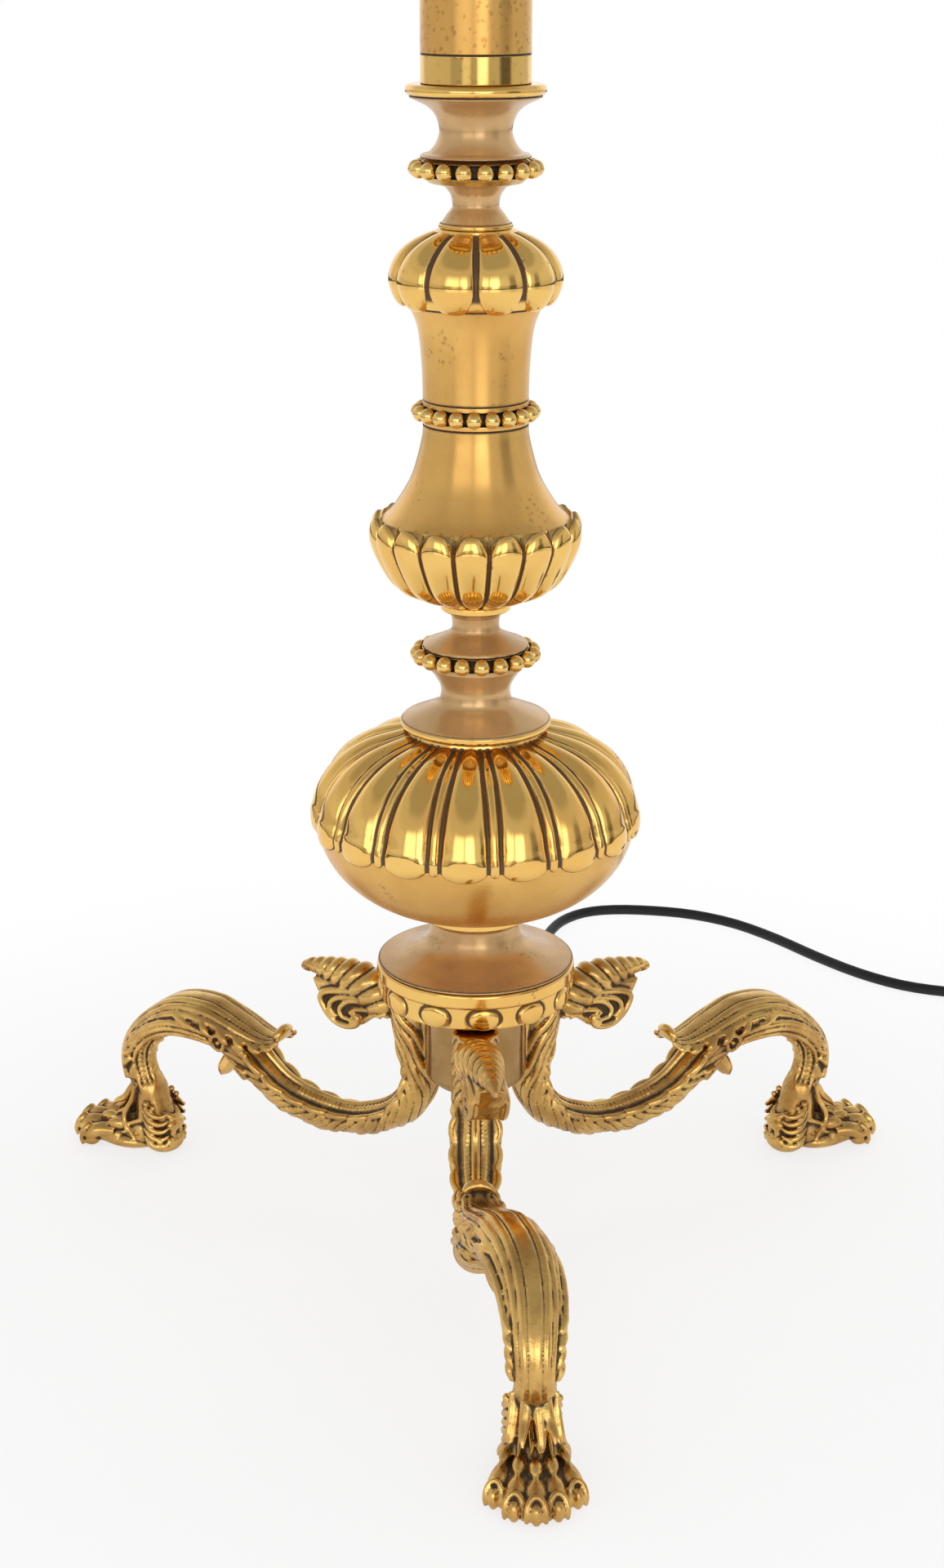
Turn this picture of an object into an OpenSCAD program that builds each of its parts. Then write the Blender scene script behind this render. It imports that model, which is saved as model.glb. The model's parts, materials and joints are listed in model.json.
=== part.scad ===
// Turned and cast brass floor lamp stem on three lion-paw legs.
// Millimetres, +Z up. The origin is on the floor, under the column's axis, and the front leg points to -Y.

/* [Tie rod and column] */
// Outside diameter of the hollow rod that clamps the whole stack
rod_d = 12.7; // [10:0.1:14]
// Bore of the hollow rod, which the flex runs through
rod_bore_d = 9.5; // [8.5:0.1:9.6]
// Radial clearance between the rod and every piece threaded on it
rod_gap = 0.15; // [0.1:0.05:0.3]
// Radial clearance of every turned spigot in its seat
spigot_gap = 0.15; // [0.1:0.05:0.3]
// Outside diameter of the column tube
tube_d = 50.8; // [46:0.2:54]
// Wall of the column tube
tube_wall = 1.5; // [1.2:0.1:2.5]
// Length of the column tube
tube_len = 650; // [500:10:800]
// Depth of the spigots that centre the tube
tube_spigot_h = 16; // [10:1:24]
// Wall of the hollow turned pieces
shell_wall = 3; // [2:0.5:4]

/* [Hub] */
// Height of the drum's underside above the floor
drum_z = 139; // [130:1:150]
// Diameter of the turned boss that the legs bolt to
hub_d = 52; // [50:0.5:54]
// How far the boss reaches below the drum
hub_drop = 46.5; // [44:0.5:52]
// Diameter of the cavity in the boss
hub_bore_d = 40; // [38:0.5:41]
// Distance from the axis to the milled flat that each leg sits on
seat_r = 24.5; // [23.5:0.1:25]
// Width of each milled flat
seat_w = 16; // [12:0.5:17]
// Thickness of the web that closes the boss at its top
hub_web = 6; // [4:0.5:8]
// Diameter of the polished lip round the drum
drum_d = 100; // [96:1:104]
// Height of the drum
drum_h = 19; // [17:0.5:22]
// Height of the drum's polished lip
drum_lip_h = 7.4; // [5:0.2:9]
// Depth of the drum's band below its lip
drum_step = 1.6; // [1:0.2:2.5]
// Thickness of the drum's top
drum_top_h = 8; // [7:0.5:9]
// Number of coin bosses round the drum
coin_count = 12; // [8:1:14]
// Diameter of each coin boss
coin_d = 11.6; // [9:0.2:11.8]
// Height of each coin boss above the band
coin_h = 1.4; // [0.8:0.1:2]
// Diameter of the domed cap under the boss
hub_cap_d = 43; // [41:0.5:44]

/* [Trumpet and ball] */
// Diameter of the trumpet's rim
trumpet_d = 99; // [94:1:100]
// Height of the trumpet
trumpet_h = 23.4; // [20:0.2:28]
// Diameter of the trumpet's neck
trumpet_neck_d = 45; // [40:0.5:48]
// Diameter of the polished ring under the ball
foot_ring_d = 50; // [46:0.5:54]
// Height of the ring under the ball
foot_ring_h = 6.6; // [5:0.2:9]
// Height of the plain lower half
bowl_h = 48; // [42:0.5:54]
// Diameter of the ball over the tops of the lobes
dome_d = 164.4; // [156:0.2:170]
// How far the lobed half stands out past the plain half, on the diameter
dome_over = 6; // [4:0.2:8]
// Height of the lobed half, from its seat to its collar
dome_h = 46.3; // [42:0.1:52]
// How far the lobes hang over the plain half
lobe_drop = 5.3; // [3:0.1:7]
// Number of lobes on the ball
ball_lobes = 16; // [12:1:18]
// Depth of the grooves between the ball's lobes
ball_groove = 3; // [2:0.1:3.6]
// Diameter of the collar on top of the ball
dome_collar_d = 66; // [60:1:70]
// Diameter of the seat in the collar
dome_bore_d = 40; // [36:0.5:44]

/* [Spool and lower bead ring] */
// Diameter of the flange on the ball
spool_flange_d = 74; // [70:0.5:78]
// Height of the spool on the ball
spool_h = 33.2; // [29:0.2:38]
// Diameter of the spool's waist
spool_waist_d = 34; // [30:0.5:38]
// Diameter of the spool's head
spool_head_d = 48; // [44:0.5:50]
// Height of the lower bead ring
low_ring_h = 7; // [6.4:0.2:9]
// Diameter of the circle that the lower beads lie on
low_bead_pcd = 57.6; // [55:0.2:60]
// Number of lower beads
low_beads = 19; // [14:1:24]
// Diameter of the lower and middle beads
bead_d = 6.2; // [5:0.1:6.4]

/* [Cup] */
// Diameter of the stem's disc under the cup
stem_disc_d = 51.4; // [48:0.2:54]
// Height of the stem under the cup
stem_h = 18.5; // [16:0.5:24]
// Diameter of the stem's neck
stem_neck_d = 22.8; // [20:0.2:26]
// Diameter of the polished ring under the cup
cup_ring_d = 34; // [30:0.5:38]
// Height of the ring under the cup
cup_ring_h = 4; // [3:0.2:6]
// Diameter of the cup over its lobes
cup_d = 102.4; // [100:0.4:108]
// Height of the cup from its foot to the sleeve's seat
cup_seat_h = 35; // [31:0.5:40]
// How far the lobes stand above the sleeve's seat
cup_rim_h = 7.3; // [5:0.1:9]
// Number of lobes on the cup
cup_lobes = 18; // [12:1:20]
// Depth of the grooves between the cup's lobes
cup_groove = 2.6; // [2:0.1:3]

/* [Sleeves and middle bead ring] */
// Diameter of the lower sleeve's foot
sleeve_foot_d = 92.6; // [90:0.2:93]
// Diameter of both sleeves where they meet the middle ring
sleeve_waist_d = 50.2; // [47:0.2:52]
// Height of the lower sleeve
low_sleeve_h = 52; // [46:0.5:60]
// Height of the middle bead ring
mid_ring_h = 11; // [9:0.2:13]
// Diameter of the circle that the middle beads lie on
mid_bead_pcd = 54.2; // [52:0.2:57]
// Number of middle beads
mid_beads = 20; // [14:1:24]
// Diameter of the upper sleeve's head
sleeve_head_d = 64; // [60:0.5:66]
// Height of the upper sleeve
up_sleeve_h = 44.9; // [40:0.1:54]
// Diameter of the lobed cap over its lobes
cap_d = 81.6; // [78:0.2:86]
// Height of the lobed cap
cap_h = 34.5; // [30:0.5:40]
// Number of lobes on the cap
cap_lobes = 10; // [8:1:12]
// Depth of the grooves between the cap's lobes
cap_groove = 3.4; // [2:0.1:4]

/* [Upper spools] */
// Diameter of the lip on the cap
cap_lip_d = 34.6; // [32:0.2:37]
// Height of the small spool on the cap
cap_spool_h = 20.6; // [18:0.2:25]
// Diameter of the small spool's neck
cap_neck_d = 21.8; // [19:0.2:24]
// Height of the upper bead ring
up_ring_h = 11.4; // [9:0.2:14]
// Diameter of the circle that the upper beads lie on
up_bead_pcd = 55.4; // [54:0.2:58]
// Number of upper beads
up_beads = 18; // [14:1:22]
// Diameter of the upper beads
up_bead_d = 6.6; // [5:0.1:7]
// Height of the waisted spools
waist_h = 27.6; // [24:0.2:34]
// Diameter of the waisted spools' waists
waist_d = 33.6; // [30:0.2:38]
// Diameter of the waisted spools' small ends
waist_small_d = 51.4; // [48:0.2:53]
// Diameter of the waisted spools' large ends
waist_big_d = 61; // [57:0.5:63]
// Diameter of the flanges under and over the column
flange_d = 65; // [62:0.5:70]
// Height of those flanges
flange_h = 5; // [4:0.2:7]
// Height of the polished ferrules
ferrule_h = 13; // [10:0.5:18]
// Diameter of the drip dish
drip_d = 72; // [68:1:80]
// Height of the drip dish
drip_h = 11; // [10:0.5:14]

/* [Legs] */
// Distance from the axis to the tips of the toes
leg_reach = 261; // [240:1:285]
// Height of the highest part of the knee
knee_z = 99; // [92:1:108]
// Half width of the leg's stem
leg_half_w = 11.5; // [9:0.5:13]
// Number of rings that the leg's stem is swept through
leg_rings = 34; // [30:1:48]
// Sideways set of the front paw, bent in use
front_bend = 26; // [0:1:30]
// Height of the scroll's crest above the drum's underside
scroll_rise = 2; // [0:0.5:4]
// Length of the scroll beyond the drum
scroll_len = 55; // [45:1:60]
// Width of the paw over its toes
paw_w = 44; // [38:1:48]
// Diameter of the leg screws
leg_screw_d = 6; // [5:0.5:6]
// Length of the leg screws under their heads
leg_screw_len = 16; // [12:1:18]

/* [Lampholder] */
// Diameter of the lampholder's housing
housing_d = 40; // [39.5:0.5:42]
// Diameter of the plain skirt that takes a shade's gimbal ring
skirt_d = 38; // [37.5:0.1:38.4]
// Bore of the lamp socket
socket_d = 26.6; // [26.4:0.1:27]
// Diameter of the push bar
bar_d = 5; // [4:0.1:6]
// Travel of the push bar
bar_travel = 6; // [4:0.5:8]
// Diameter of the shade ring
shade_ring_d = 52; // [48:1:58]

/* [Flex and plug] */
// Diameter of the round flex
flex_d = 6.8; // [6:0.1:7.2]
// Height of the flex outlet above the floor
outlet_z = 108; // [105:0.5:112]
// Length of the tapered bush outside the boss
bush_len = 26; // [20:1:40]
// Mean radius of the coiled turns at their inner end
coil_r_in = 28.5; // [27:0.5:32]
// Turns in each of the coil's two layers
coil_turns = 2.25; // [1.25:0.5:3.25]
// Step from one turn to the next
coil_pitch = 7.5; // [7.4:0.1:9]
// Width of the plug
plug_w = 50; // [46:1:54]
// Length of the plug
plug_l = 50; // [46:1:54]
// Thickness of the plug
plug_h = 24; // [20:1:28]

/* [Hidden] */

// Colours of the finishes
satin = "#c9a262";
polished = "#e3bd62";
patina = "#a8833f";
iron = "#8b8d90";
rubber = "#1b1b1d";

// Heights of the joints in the stack, from the floor up
z_trumpet = drum_z + drum_h;
z_foot_ring = z_trumpet + trumpet_h;
z_bowl = z_foot_ring + foot_ring_h;
z_dome = z_bowl + bowl_h;
z_spool = z_dome + dome_h;
z_low_ring = z_spool + spool_h;
z_stem = z_low_ring + low_ring_h;
z_cup_ring = z_stem + stem_h;
z_cup = z_cup_ring + cup_ring_h;
z_low_sleeve = z_cup + cup_seat_h;
z_mid_ring = z_low_sleeve + low_sleeve_h;
z_up_sleeve = z_mid_ring + mid_ring_h;
z_cap = z_up_sleeve + up_sleeve_h;
z_cap_spool = z_cap + cap_h;
z_up_ring = z_cap_spool + cap_spool_h;
z_waist = z_up_ring + up_ring_h;
z_flange = z_waist + waist_h;
z_ferrule = z_flange + flange_h;
z_tube = z_ferrule + ferrule_h;
z_top_ferrule = z_tube + tube_len;
z_top_flange = z_top_ferrule + ferrule_h;
z_top_spool = z_top_flange + flange_h;
z_drip = z_top_spool + waist_h;

// Fittings of the tie rod
rod_r = rod_d / 2;
rod_hole_r = rod_r + rod_gap;
washer_r = 11.5;
washer_h = 2;
nut_r = 10.5;
nut_h = 8;
rod_tail = 3;
hub_top = drum_z + drum_h - drum_top_h;
hub_z = drum_z - hub_drop;
web_z = hub_top - hub_web;
nut_z = web_z - washer_h - nut_h;
rod_z = nut_z - rod_tail;
drip_recess = 3.5;
drip_floor = drip_h - drip_recess;
top_nut_z = z_drip + drip_floor + washer_h;
z_holder = top_nut_z + nut_h + 1;
holder_entry_h = 10;

// Shapes shared by the turned pieces
function cr(a, b, c, d, t) =
  0.5 * (2 * b + (c - a) * t + (2 * a - 5 * b + 4 * c - d) * t * t + (3 * b - a - 3 * c + d) * t * t * t);
function curve(p, n) = concat([for (i = [0:len(p) - 2]) for (k = [0:n - 1])
  cr(p[max(i - 1, 0)], p[i], p[i + 1], p[min(i + 2, len(p) - 1)], k / n)], [p[len(p) - 1]]);
function arc(c, rx, rz, a0, a1, n) = [for (i = [0:n]) let (a = a0 + (a1 - a0) * i / n)
  [c[0] + rx * cos(a), c[1] + rz * sin(a)]];
function raised(p, z) = [for (q = p) [q[0], q[1] + z]];
function flipped(p, z) = [for (i = [len(p) - 1:-1:0]) [p[i][0], z - p[i][1]]];

// A turned solid: the outline runs from its lower to its upper end, and the bore closes it
module turned(outline, bore_r) {
  first = outline[0];
  last = outline[len(outline) - 1];
  rotate_extrude($fn = 120)
    polygon(concat([[bore_r, first[1]]], outline, [[bore_r, last[1]]]));
}

module washer_disc(z) {
  turned([[washer_r, z], [washer_r, z + washer_h]], rod_hole_r);
}

module hex_nut(z) {
  difference() {
    translate([0, 0, z]) cylinder(h = nut_h, r = nut_r / cos(30), $fn = 6);
    translate([0, 0, z - 1]) cylinder(h = nut_h + 2, r = rod_hole_r, $fn = 60);
  }
}

// Faces of a strip of rings: closed along the strip when loop is true, and capped at both ends when not
function strip_faces(rings, n, loop) = concat(
  [for (i = [0:rings - (loop ? 1 : 2)]) for (j = [0:n - 1]) let (k = (i + 1) % rings, m = (j + 1) % n)
    each [[i * n + j, i * n + m, k * n + j], [i * n + m, k * n + m, k * n + j]]],
  loop ? [] : [for (j = [1:n - 2]) [0, j + 1, j]],
  loop ? [] : [for (j = [1:n - 2]) let (b = (rings - 1) * n) [b, b + j, b + j + 1]]);

module strip(rings, loop) {
  polyhedron(points = [for (r = rings) each r], faces = strip_faces(len(rings), len(rings[0]), loop),
    convexity = 8);
}

// Lobed shells: each column has its place across a lobe, and its shares of the groove and of the rim's scallop
ball_cols = [[-0.39, 1, 0.9], [-0.27, 0.28, 0.36], [-0.1, 0.04, 0.05], [0.1, 0.04, 0.05],
  [0.27, 0.28, 0.36], [0.39, 1, 0.9], [0.5, 0.5, 1]];
cup_cols = [[-0.5, 1, 1], [-0.3, 0.2, 0.22], [-0.1, 0.02, 0.03], [0.1, 0.02, 0.03], [0.3, 0.2, 0.22]];
cap_cols = [[-0.5, 1, 1], [-0.4, 0.36, 0.5], [-0.25, 0.12, 0.16], [-0.08, 0.01, 0.02], [0.08, 0.01, 0.02],
  [0.25, 0.12, 0.16], [0.4, 0.36, 0.5]];

// A ring of the shell: radius and height, its share of the groove's depth, and its share of the scallop
function lobed_ring(row, cols, lobes, groove, scallop, turn) = [for (l = [0:lobes - 1]) for (c = cols)
  let (a = turn + (l + c[0]) * 360 / lobes, r = row[0] - groove * row[2] * c[1],
    z = row[1] + scallop * row[3] * c[2])
    [r * cos(a), r * sin(a), z]];

module lobed_shell(rows, cols, lobes, groove, scallop, turn) {
  strip([for (row = rows) lobed_ring(row, cols, lobes, groove, scallop, turn)], true);
}

// Hub
hub_r = hub_d / 2;
hub_round = 5;
screw_r = leg_screw_d / 2;
screw_head_r = leg_screw_d * 0.85;
screw_head_h = leg_screw_d * 0.55;
screw_z = [hub_z + 13, hub_z + 33];
leg_turns = [-90, 30, 150];
spot_r = screw_head_r + 0.5;
spot_x = hub_bore_d / 2 + 0.4;
bush_r = flex_d / 2 + 3.6;
bush_flange_r = bush_r + 2.2;
bush_flange_h = 2.4;
bush_seat_y = hub_r - 1.5;
earth_x = -hub_bore_d / 2 + 4.2;
earth_r = 2;

module leg_flat() {
  translate([seat_r, -seat_w / 2, hub_z - 1]) cube([hub_r, seat_w, hub_drop + 1]);
}

module hub_core() {
  outline = concat([[hub_bore_d / 2 + 1, hub_z]], arc([hub_r - hub_round, hub_z + hub_round], hub_round,
    hub_round, -70, 0, 5), [[hub_r, hub_top]]);
  color(patina) difference() {
    turned(outline, rod_hole_r);
    translate([0, 0, hub_z - 1]) cylinder(h = web_z - hub_z + 1, r = hub_bore_d / 2, $fn = 90);
    for (a = leg_turns) rotate([0, 0, a]) {
      leg_flat();
      for (z = screw_z) translate([0, 0, z]) rotate([0, 90, 0]) {
        cylinder(h = hub_r + 2, r = screw_r + 0.3, $fn = 32);
        cylinder(h = spot_x, r = spot_r, $fn = 32);
      }
    }
    translate([0, 0, outlet_z]) rotate([-90, 0, 0]) cylinder(h = hub_r + 2, r = bush_r + 0.1, $fn = 40);
    translate([0, bush_seat_y, outlet_z]) rotate([-90, 0, 0])
      cylinder(h = 4, r = bush_flange_r + 0.2, $fn = 40);
    translate([earth_x, 0, web_z - 1]) cylinder(h = hub_web - 0.5, r = earth_r + 0.05, $fn = 24);
  }
}

module hub_cap() {
  r = hub_cap_d / 2;
  color(patina) turned(concat([[0.5, hub_z - 3.4]], arc([0, hub_z - 1], r, 2.4, -60, 0, 5), [[r, hub_z],
    [hub_bore_d / 2 - spigot_gap, hub_z], [hub_bore_d / 2 - spigot_gap, hub_z + 4]]), 0);
}

coin_turn = -85;

module hub_drum() {
  lip_r = drum_d / 2;
  band_r = lip_r - drum_step;
  coin_z = drum_z + (drum_h - drum_lip_h) / 2;
  color(polished) difference() {
    union() {
      turned([[band_r - 1.5, drum_z], [band_r, drum_z + 1], [band_r, drum_z + drum_h - drum_lip_h],
        [lip_r - 0.6, drum_z + drum_h - drum_lip_h + 0.4], [lip_r, drum_z + drum_h - drum_lip_h + 1.2],
        [lip_r, drum_z + drum_h - 1], [lip_r - 1, drum_z + drum_h]], rod_hole_r);
      for (i = [0:coin_count - 1]) rotate([0, 0, coin_turn + i * 360 / coin_count])
        translate([band_r - 3, 0, coin_z]) rotate([0, 90, 0])
          cylinder(h = 3 + coin_h, r1 = coin_d / 2, r2 = coin_d / 2 - 1, $fn = 40);
    }
    translate([0, 0, drum_z - 1]) cylinder(h = drum_h - drum_top_h + 1, r = hub_r + spigot_gap, $fn = 90);
  }
}

module leg_screws() {
  color(iron) for (a = leg_turns, z = screw_z) rotate([0, 0, a]) translate([0, 0, z]) rotate([0, 90, 0]) {
    translate([0, 0, spot_x - screw_head_h]) difference() {
      cylinder(h = screw_head_h, r = screw_head_r, $fn = 40);
      translate([0, 0, -1]) cylinder(h = screw_head_h / 2 + 1, r = screw_r * 0.6 / cos(30), $fn = 6);
    }
    translate([0, 0, spot_x]) cylinder(h = leg_screw_len, r = screw_r, $fn = 32);
  }
}

module earth_screw() {
  color(iron) {
    translate([earth_x, 0, web_z - 2.4]) cylinder(h = 2.4, r = 3.4, $fn = 32);
    translate([earth_x, 0, web_z]) cylinder(h = hub_web - 2, r = earth_r, $fn = 24);
  }
}

// Legs, drawn in the plane of their own turn: outwards, up, half thickness, and share of the half width
drawn_reach = 261;
drawn_knee = 99;
drawn_drum = 139;
drawn_half_w = 11.5;
leg_path = [[40, 116, 10.5, 1], [37.5, 100, 10, 1.02], [37.5, 84, 9.6, 1.04], [41, 72, 9, 1.06],
  [50, 60.5, 8.7, 1.02], [65.5, 53, 8.6, 0.88], [79, 50.2, 8.9, 0.82], [93, 50, 9.8, 0.84],
  [108, 52.6, 10.2, 0.9], [121, 58, 10.2, 0.96], [133, 67, 10.4, 1.04], [144, 77, 11, 1.12],
  [156, 85, 11.6, 1.18], [171, 88.4, 11.2, 1.2], [188, 86, 10.3, 1.16], [203, 77.5, 8.7, 1.06],
  [213.5, 65.5, 8.7, 0.94], [217, 54, 9.5, 0.85], [215, 43, 9.9, 0.86], [210.5, 33, 10.6, 0.98],
  [208, 20, 12.4, 1.16]];
leg_flutes = [1.06, 0.93, 1.03, 0.94, 1.02, 0.97, 1, 0.97, 1.02, 0.94, 1.03, 0.93];

function reach_at(x) = x + (leg_reach - drawn_reach) * smooth((x - 60) / 145);
function smooth(t) = let (u = min(max(t, 0), 1)) u * u * (3 - 2 * u);
function knee_lift(x) = (knee_z - drawn_knee) * smooth((x - 105) / 50) * (1 - smooth((x - 185) / 30));
function root_lift(x) = (drum_z - drawn_drum) * (1 - smooth((x - 45) / 60));
function bend_at(x, bend) = bend * smooth((x - 105) / 110);
function leg_point(q, bend) = [reach_at(q[0]), bend_at(q[0], bend), q[1] + knee_lift(q[0]) + root_lift(q[0]),
  q[2] * leg_half_w / drawn_half_w, q[3]];

function leg_sweep(bend) = let (
    dense = curve([for (q = leg_path) leg_point(q, bend)], 4),
    last = len(dense) - 1)
  [for (i = [0:leg_rings]) let (
      s = last * i / leg_rings, k = min(floor(s), last - 1), f = s - k,
      p = dense[k] * (1 - f) + dense[k + 1] * f,
      t = dense[min(k + 1, last)] - dense[max(k, 0)],
      l = norm([t[0], t[2]]), nx = -t[2] / l, nz = t[0] / l,
      notch = 1 + 0.08 * sin(i * 120))
    [for (j = [0:len(leg_flutes) - 1]) let (
        a = j * 360 / len(leg_flutes), m = leg_flutes[j],
        across = leg_half_w * p[4] * notch * m * sin(a), up = p[3] * m * cos(a))
      [p[0] + nx * up, p[1] + across, p[2] + nz * up]]];

// The ribbed horn that rolls out of each leg's root beside the drum
horn_shape = [[-4, -22, 7], [3, -17, 11.5], [12, -12.2, 11], [22, -9.4, 9.6], [32, -8.2, 7.8],
  [42, -7.4, 5.4], [50, -7.4, 3.2], [55, -8.6, 0.9]];
horn_drawn_len = 55;
horn_rings = 18;
leaf_curl = 1;

function horn_sweep(lean) = let (
    dense = curve([for (q = horn_shape) [drum_d / 2 + 1.2 + q[0] * scroll_len / horn_drawn_len,
      q[1] + drum_z + scroll_rise, q[2]]], 3),
    last = len(dense) - 1)
  [for (i = [0:horn_rings]) let (
      k = min(i, last - 1), p = dense[min(i, last)], t = dense[k + 1] - dense[k], l = norm([t[0], t[1]]),
      rib = 1 + 0.09 * cos(i * 120), out = max(p[0] - drum_d / 2, 0))
    [for (j = [0:9]) let (a = j * 36)
      [max(p[0] - t[1] / l * p[2] * rib * cos(a), i < 3 ? 0 : drum_d / 2 + 0.6),
        lean * out / horn_drawn_len + p[2] * rib * sin(a),
        min(p[1] + t[0] / l * p[2] * rib * cos(a), i < 4 ? drum_z - 0.6 : 999)]]];

module toe(x, y, turn, size) {
  translate([x, y, 0]) rotate([0, 0, turn]) {
    hull() {
      translate([-24, 0, 15]) sphere(r = size * 0.9, $fn = 8);
      translate([-10, 0, 14]) sphere(r = size, $fn = 8);
    }
    hull() {
      translate([-10, 0, 14]) sphere(r = size, $fn = 8);
      translate([-size * 0.8, 0, size * 0.85]) sphere(r = size * 0.85, $fn = 8);
    }
  }
}

module paw(bend) {
  x = leg_reach;
  y = bend;
  half = paw_w / 2;
  hull() {
    translate([reach_at(207), y, 16]) sphere(r = 13, $fn = 12);
    translate([x - 22, y, 9]) scale([1, 1.7, 1]) sphere(r = 10, $fn = 12);
    translate([x - 58, y, 6]) sphere(r = 12, $fn = 12);
    translate([x - 30, y, 0]) scale([1, 1.6, 0.2]) sphere(r = 11, $fn = 12);
  }
  toe(x, y, 0, 5.4);
  toe(x - 2.6, y - half * 0.43, -6, 5.2);
  toe(x - 2.6, y + half * 0.43, 6, 5.2);
  toe(x - 11, y - half * 0.78, -12, 4.8);
  toe(x - 11, y + half * 0.78, 12, 4.8);
}

// The free tip of an acanthus leaf, from its seat in the leg to its point
module leaf_tip(from, to, bend) {
  middle = (from + to) / 2 + [0, leaf_curl];
  hull() {
    translate([from[0], bend_at(from[0], bend), from[1]]) scale([1, 1.3, 1]) sphere(r = 5.6, $fn = 8);
    translate([middle[0], bend_at(middle[0], bend), middle[1]]) scale([1, 1.3, 1]) sphere(r = 3.6, $fn = 8);
  }
  hull() {
    translate([middle[0], bend_at(middle[0], bend), middle[1]]) scale([1, 1.3, 1]) sphere(r = 3.6, $fn = 8);
    translate([to[0], bend_at(to[0], bend), to[1]]) sphere(r = 1.6, $fn = 8);
  }
}

module leg(turn, bend) {
  pad_w = seat_w - 0.4;
  color(patina) rotate([0, 0, turn]) intersection() {
    translate([seat_r, -60, 0]) cube([leg_reach, 120, drum_z + 40]);
    difference() {
      union() {
        strip(leg_sweep(bend), false);
        strip(horn_sweep(bend * 0.36), false);
        translate([seat_r, -pad_w / 2, hub_z + 4]) cube([15, pad_w, drum_z - hub_z - 4.6]);
        translate([drum_d / 2 + 20.5, bend * 0.14, drum_z - 23.4]) scale([1, 1.12, 1])
          sphere(r = 10, $fn = 12);
        paw(bend);
        leaf_tip([reach_at(139), 80 + knee_lift(139)], [reach_at(120), 88 + knee_lift(139)], bend);
        leaf_tip([reach_at(181), 77 + knee_lift(181)], [reach_at(167), 59 + knee_lift(181)], bend);
      }
      for (z = screw_z) translate([seat_r - 1, 0, z]) rotate([0, 90, 0])
        cylinder(h = spot_x + leg_screw_len - seat_r + 2, r = screw_r + 0.15, $fn = 24);
    }
  }
}

module leg_front() { leg(leg_turns[0], front_bend); }
module leg_right() { leg(leg_turns[1], 0); }
module leg_left() { leg(leg_turns[2], 0); }

// Trumpet and ball
module trumpet() {
  r = trumpet_d / 2;
  n = trumpet_neck_d / 2;
  color(satin) turned(concat([[r - 0.8, z_trumpet], [r, z_trumpet + 0.8]], curve([[r - 0.4, z_trumpet + 1.6],
    [r - 9, z_trumpet + trumpet_h * 0.2], [n + 9, z_trumpet + trumpet_h * 0.41],
    [n + 1.6, z_trumpet + trumpet_h * 0.68], [n, z_trumpet + trumpet_h * 0.88]], 5),
    [[n + 1, z_trumpet + trumpet_h]]), rod_hole_r);
}

module ball_foot_ring() {
  r = foot_ring_d / 2;
  color(polished) turned(concat([[r - 1.4, z_foot_ring]], arc([r - 1.8, z_foot_ring + foot_ring_h * 0.28],
    1.8, foot_ring_h * 0.28, -60, 90, 6), [[r - 4, z_bowl - 1.6], [r - 5, z_bowl]]), rod_hole_r);
}

bowl_foot_r = 20;

module ball_bowl() {
  r = (dome_d - dome_over) / 2;
  outline = arc([bowl_foot_r, z_dome], r - bowl_foot_r, bowl_h, -90, 0, 16);
  inner = arc([bowl_foot_r, z_dome], r - shell_wall - bowl_foot_r, bowl_h - shell_wall, 0, -90, 12);
  color(satin) rotate_extrude($fn = 120)
    polygon(concat([[rod_hole_r, z_bowl]], outline, inner, [[rod_hole_r, z_bowl + shell_wall]]));
}

module ball_dome() {
  e = dome_d / 2;
  c = dome_collar_d / 2;
  skirt = (dome_d - dome_over) / 2 + spigot_gap;
  low = z_dome - lobe_drop;
  top = z_spool;
  shoulder = 4.3;
  crown = top - shoulder - (z_dome - 2);
  arc_rows = [for (a = [16, 33, 50, 70]) [c - 3 + (e - c + 3) * sin(a), z_dome - 2 + crown * cos(a),
    0.45 + 0.55 * sin(a), 0]];
  rows = concat([[c, top, 0, 0], [c + 0.4, top - 3.1, 0, 0]], arc_rows, [[e, z_dome + 2.5, 0.75, 0],
    [e - 0.8, low + 1.2, 0.4, 0.9], [skirt, low, 0, 0.9], [skirt, z_dome, 0, 0],
    [skirt - shell_wall - 1, z_dome, 0, 0], [c + (skirt - c) * 0.58, z_dome + crown * 0.55, 0, 0],
    [dome_bore_d / 2, top - 9, 0, 0], [dome_bore_d / 2, top, 0, 0]]);
  color(polished) lobed_shell(rows, ball_cols, ball_lobes, ball_groove, lobe_drop, -93.5);
}

module ball_spool() {
  f = spool_flange_d / 2;
  w = spool_waist_d / 2;
  h = spool_head_d / 2;
  spigot = dome_bore_d / 2 - spigot_gap;
  low = [[spigot, z_spool - 4.5], [spigot, z_spool], [f - 1.2, z_spool], [f, z_spool + 1.2],
    [f, z_spool + 3.2], [f - 0.8, z_spool + 4]];
  color(satin) turned(concat(low, curve([[f - 1.2, z_spool + 4.4], [w + 9, z_spool + 8.6],
    [w + 2, z_spool + 12], [w, z_spool + 17], [w + 0.8, z_spool + 22], [h - 3, z_spool + 27.4]], 4),
    [[h, z_low_ring - 2.6], [h, z_low_ring]]), rod_hole_r);
}

module bead_ring(z, h, body_low_r, body_r, pcd, bead_z, count, dia, turn) {
  color(patina) union() {
    turned([[body_low_r, z], [body_r, bead_z - 1.5], [body_r, bead_z + 1.5], [body_low_r, z + h]], rod_hole_r);
    for (i = [0:count - 1]) rotate([0, 0, turn + i * 360 / count]) translate([pcd / 2, 0, bead_z])
      sphere(r = dia / 2, $fn = 24);
  }
}

module lower_bead_ring() {
  bead_ring(z_low_ring, low_ring_h, spool_head_d / 2, low_bead_pcd / 2 - 0.8, low_bead_pcd,
    z_low_ring + low_ring_h / 2, low_beads, bead_d, -90);
}

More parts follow.
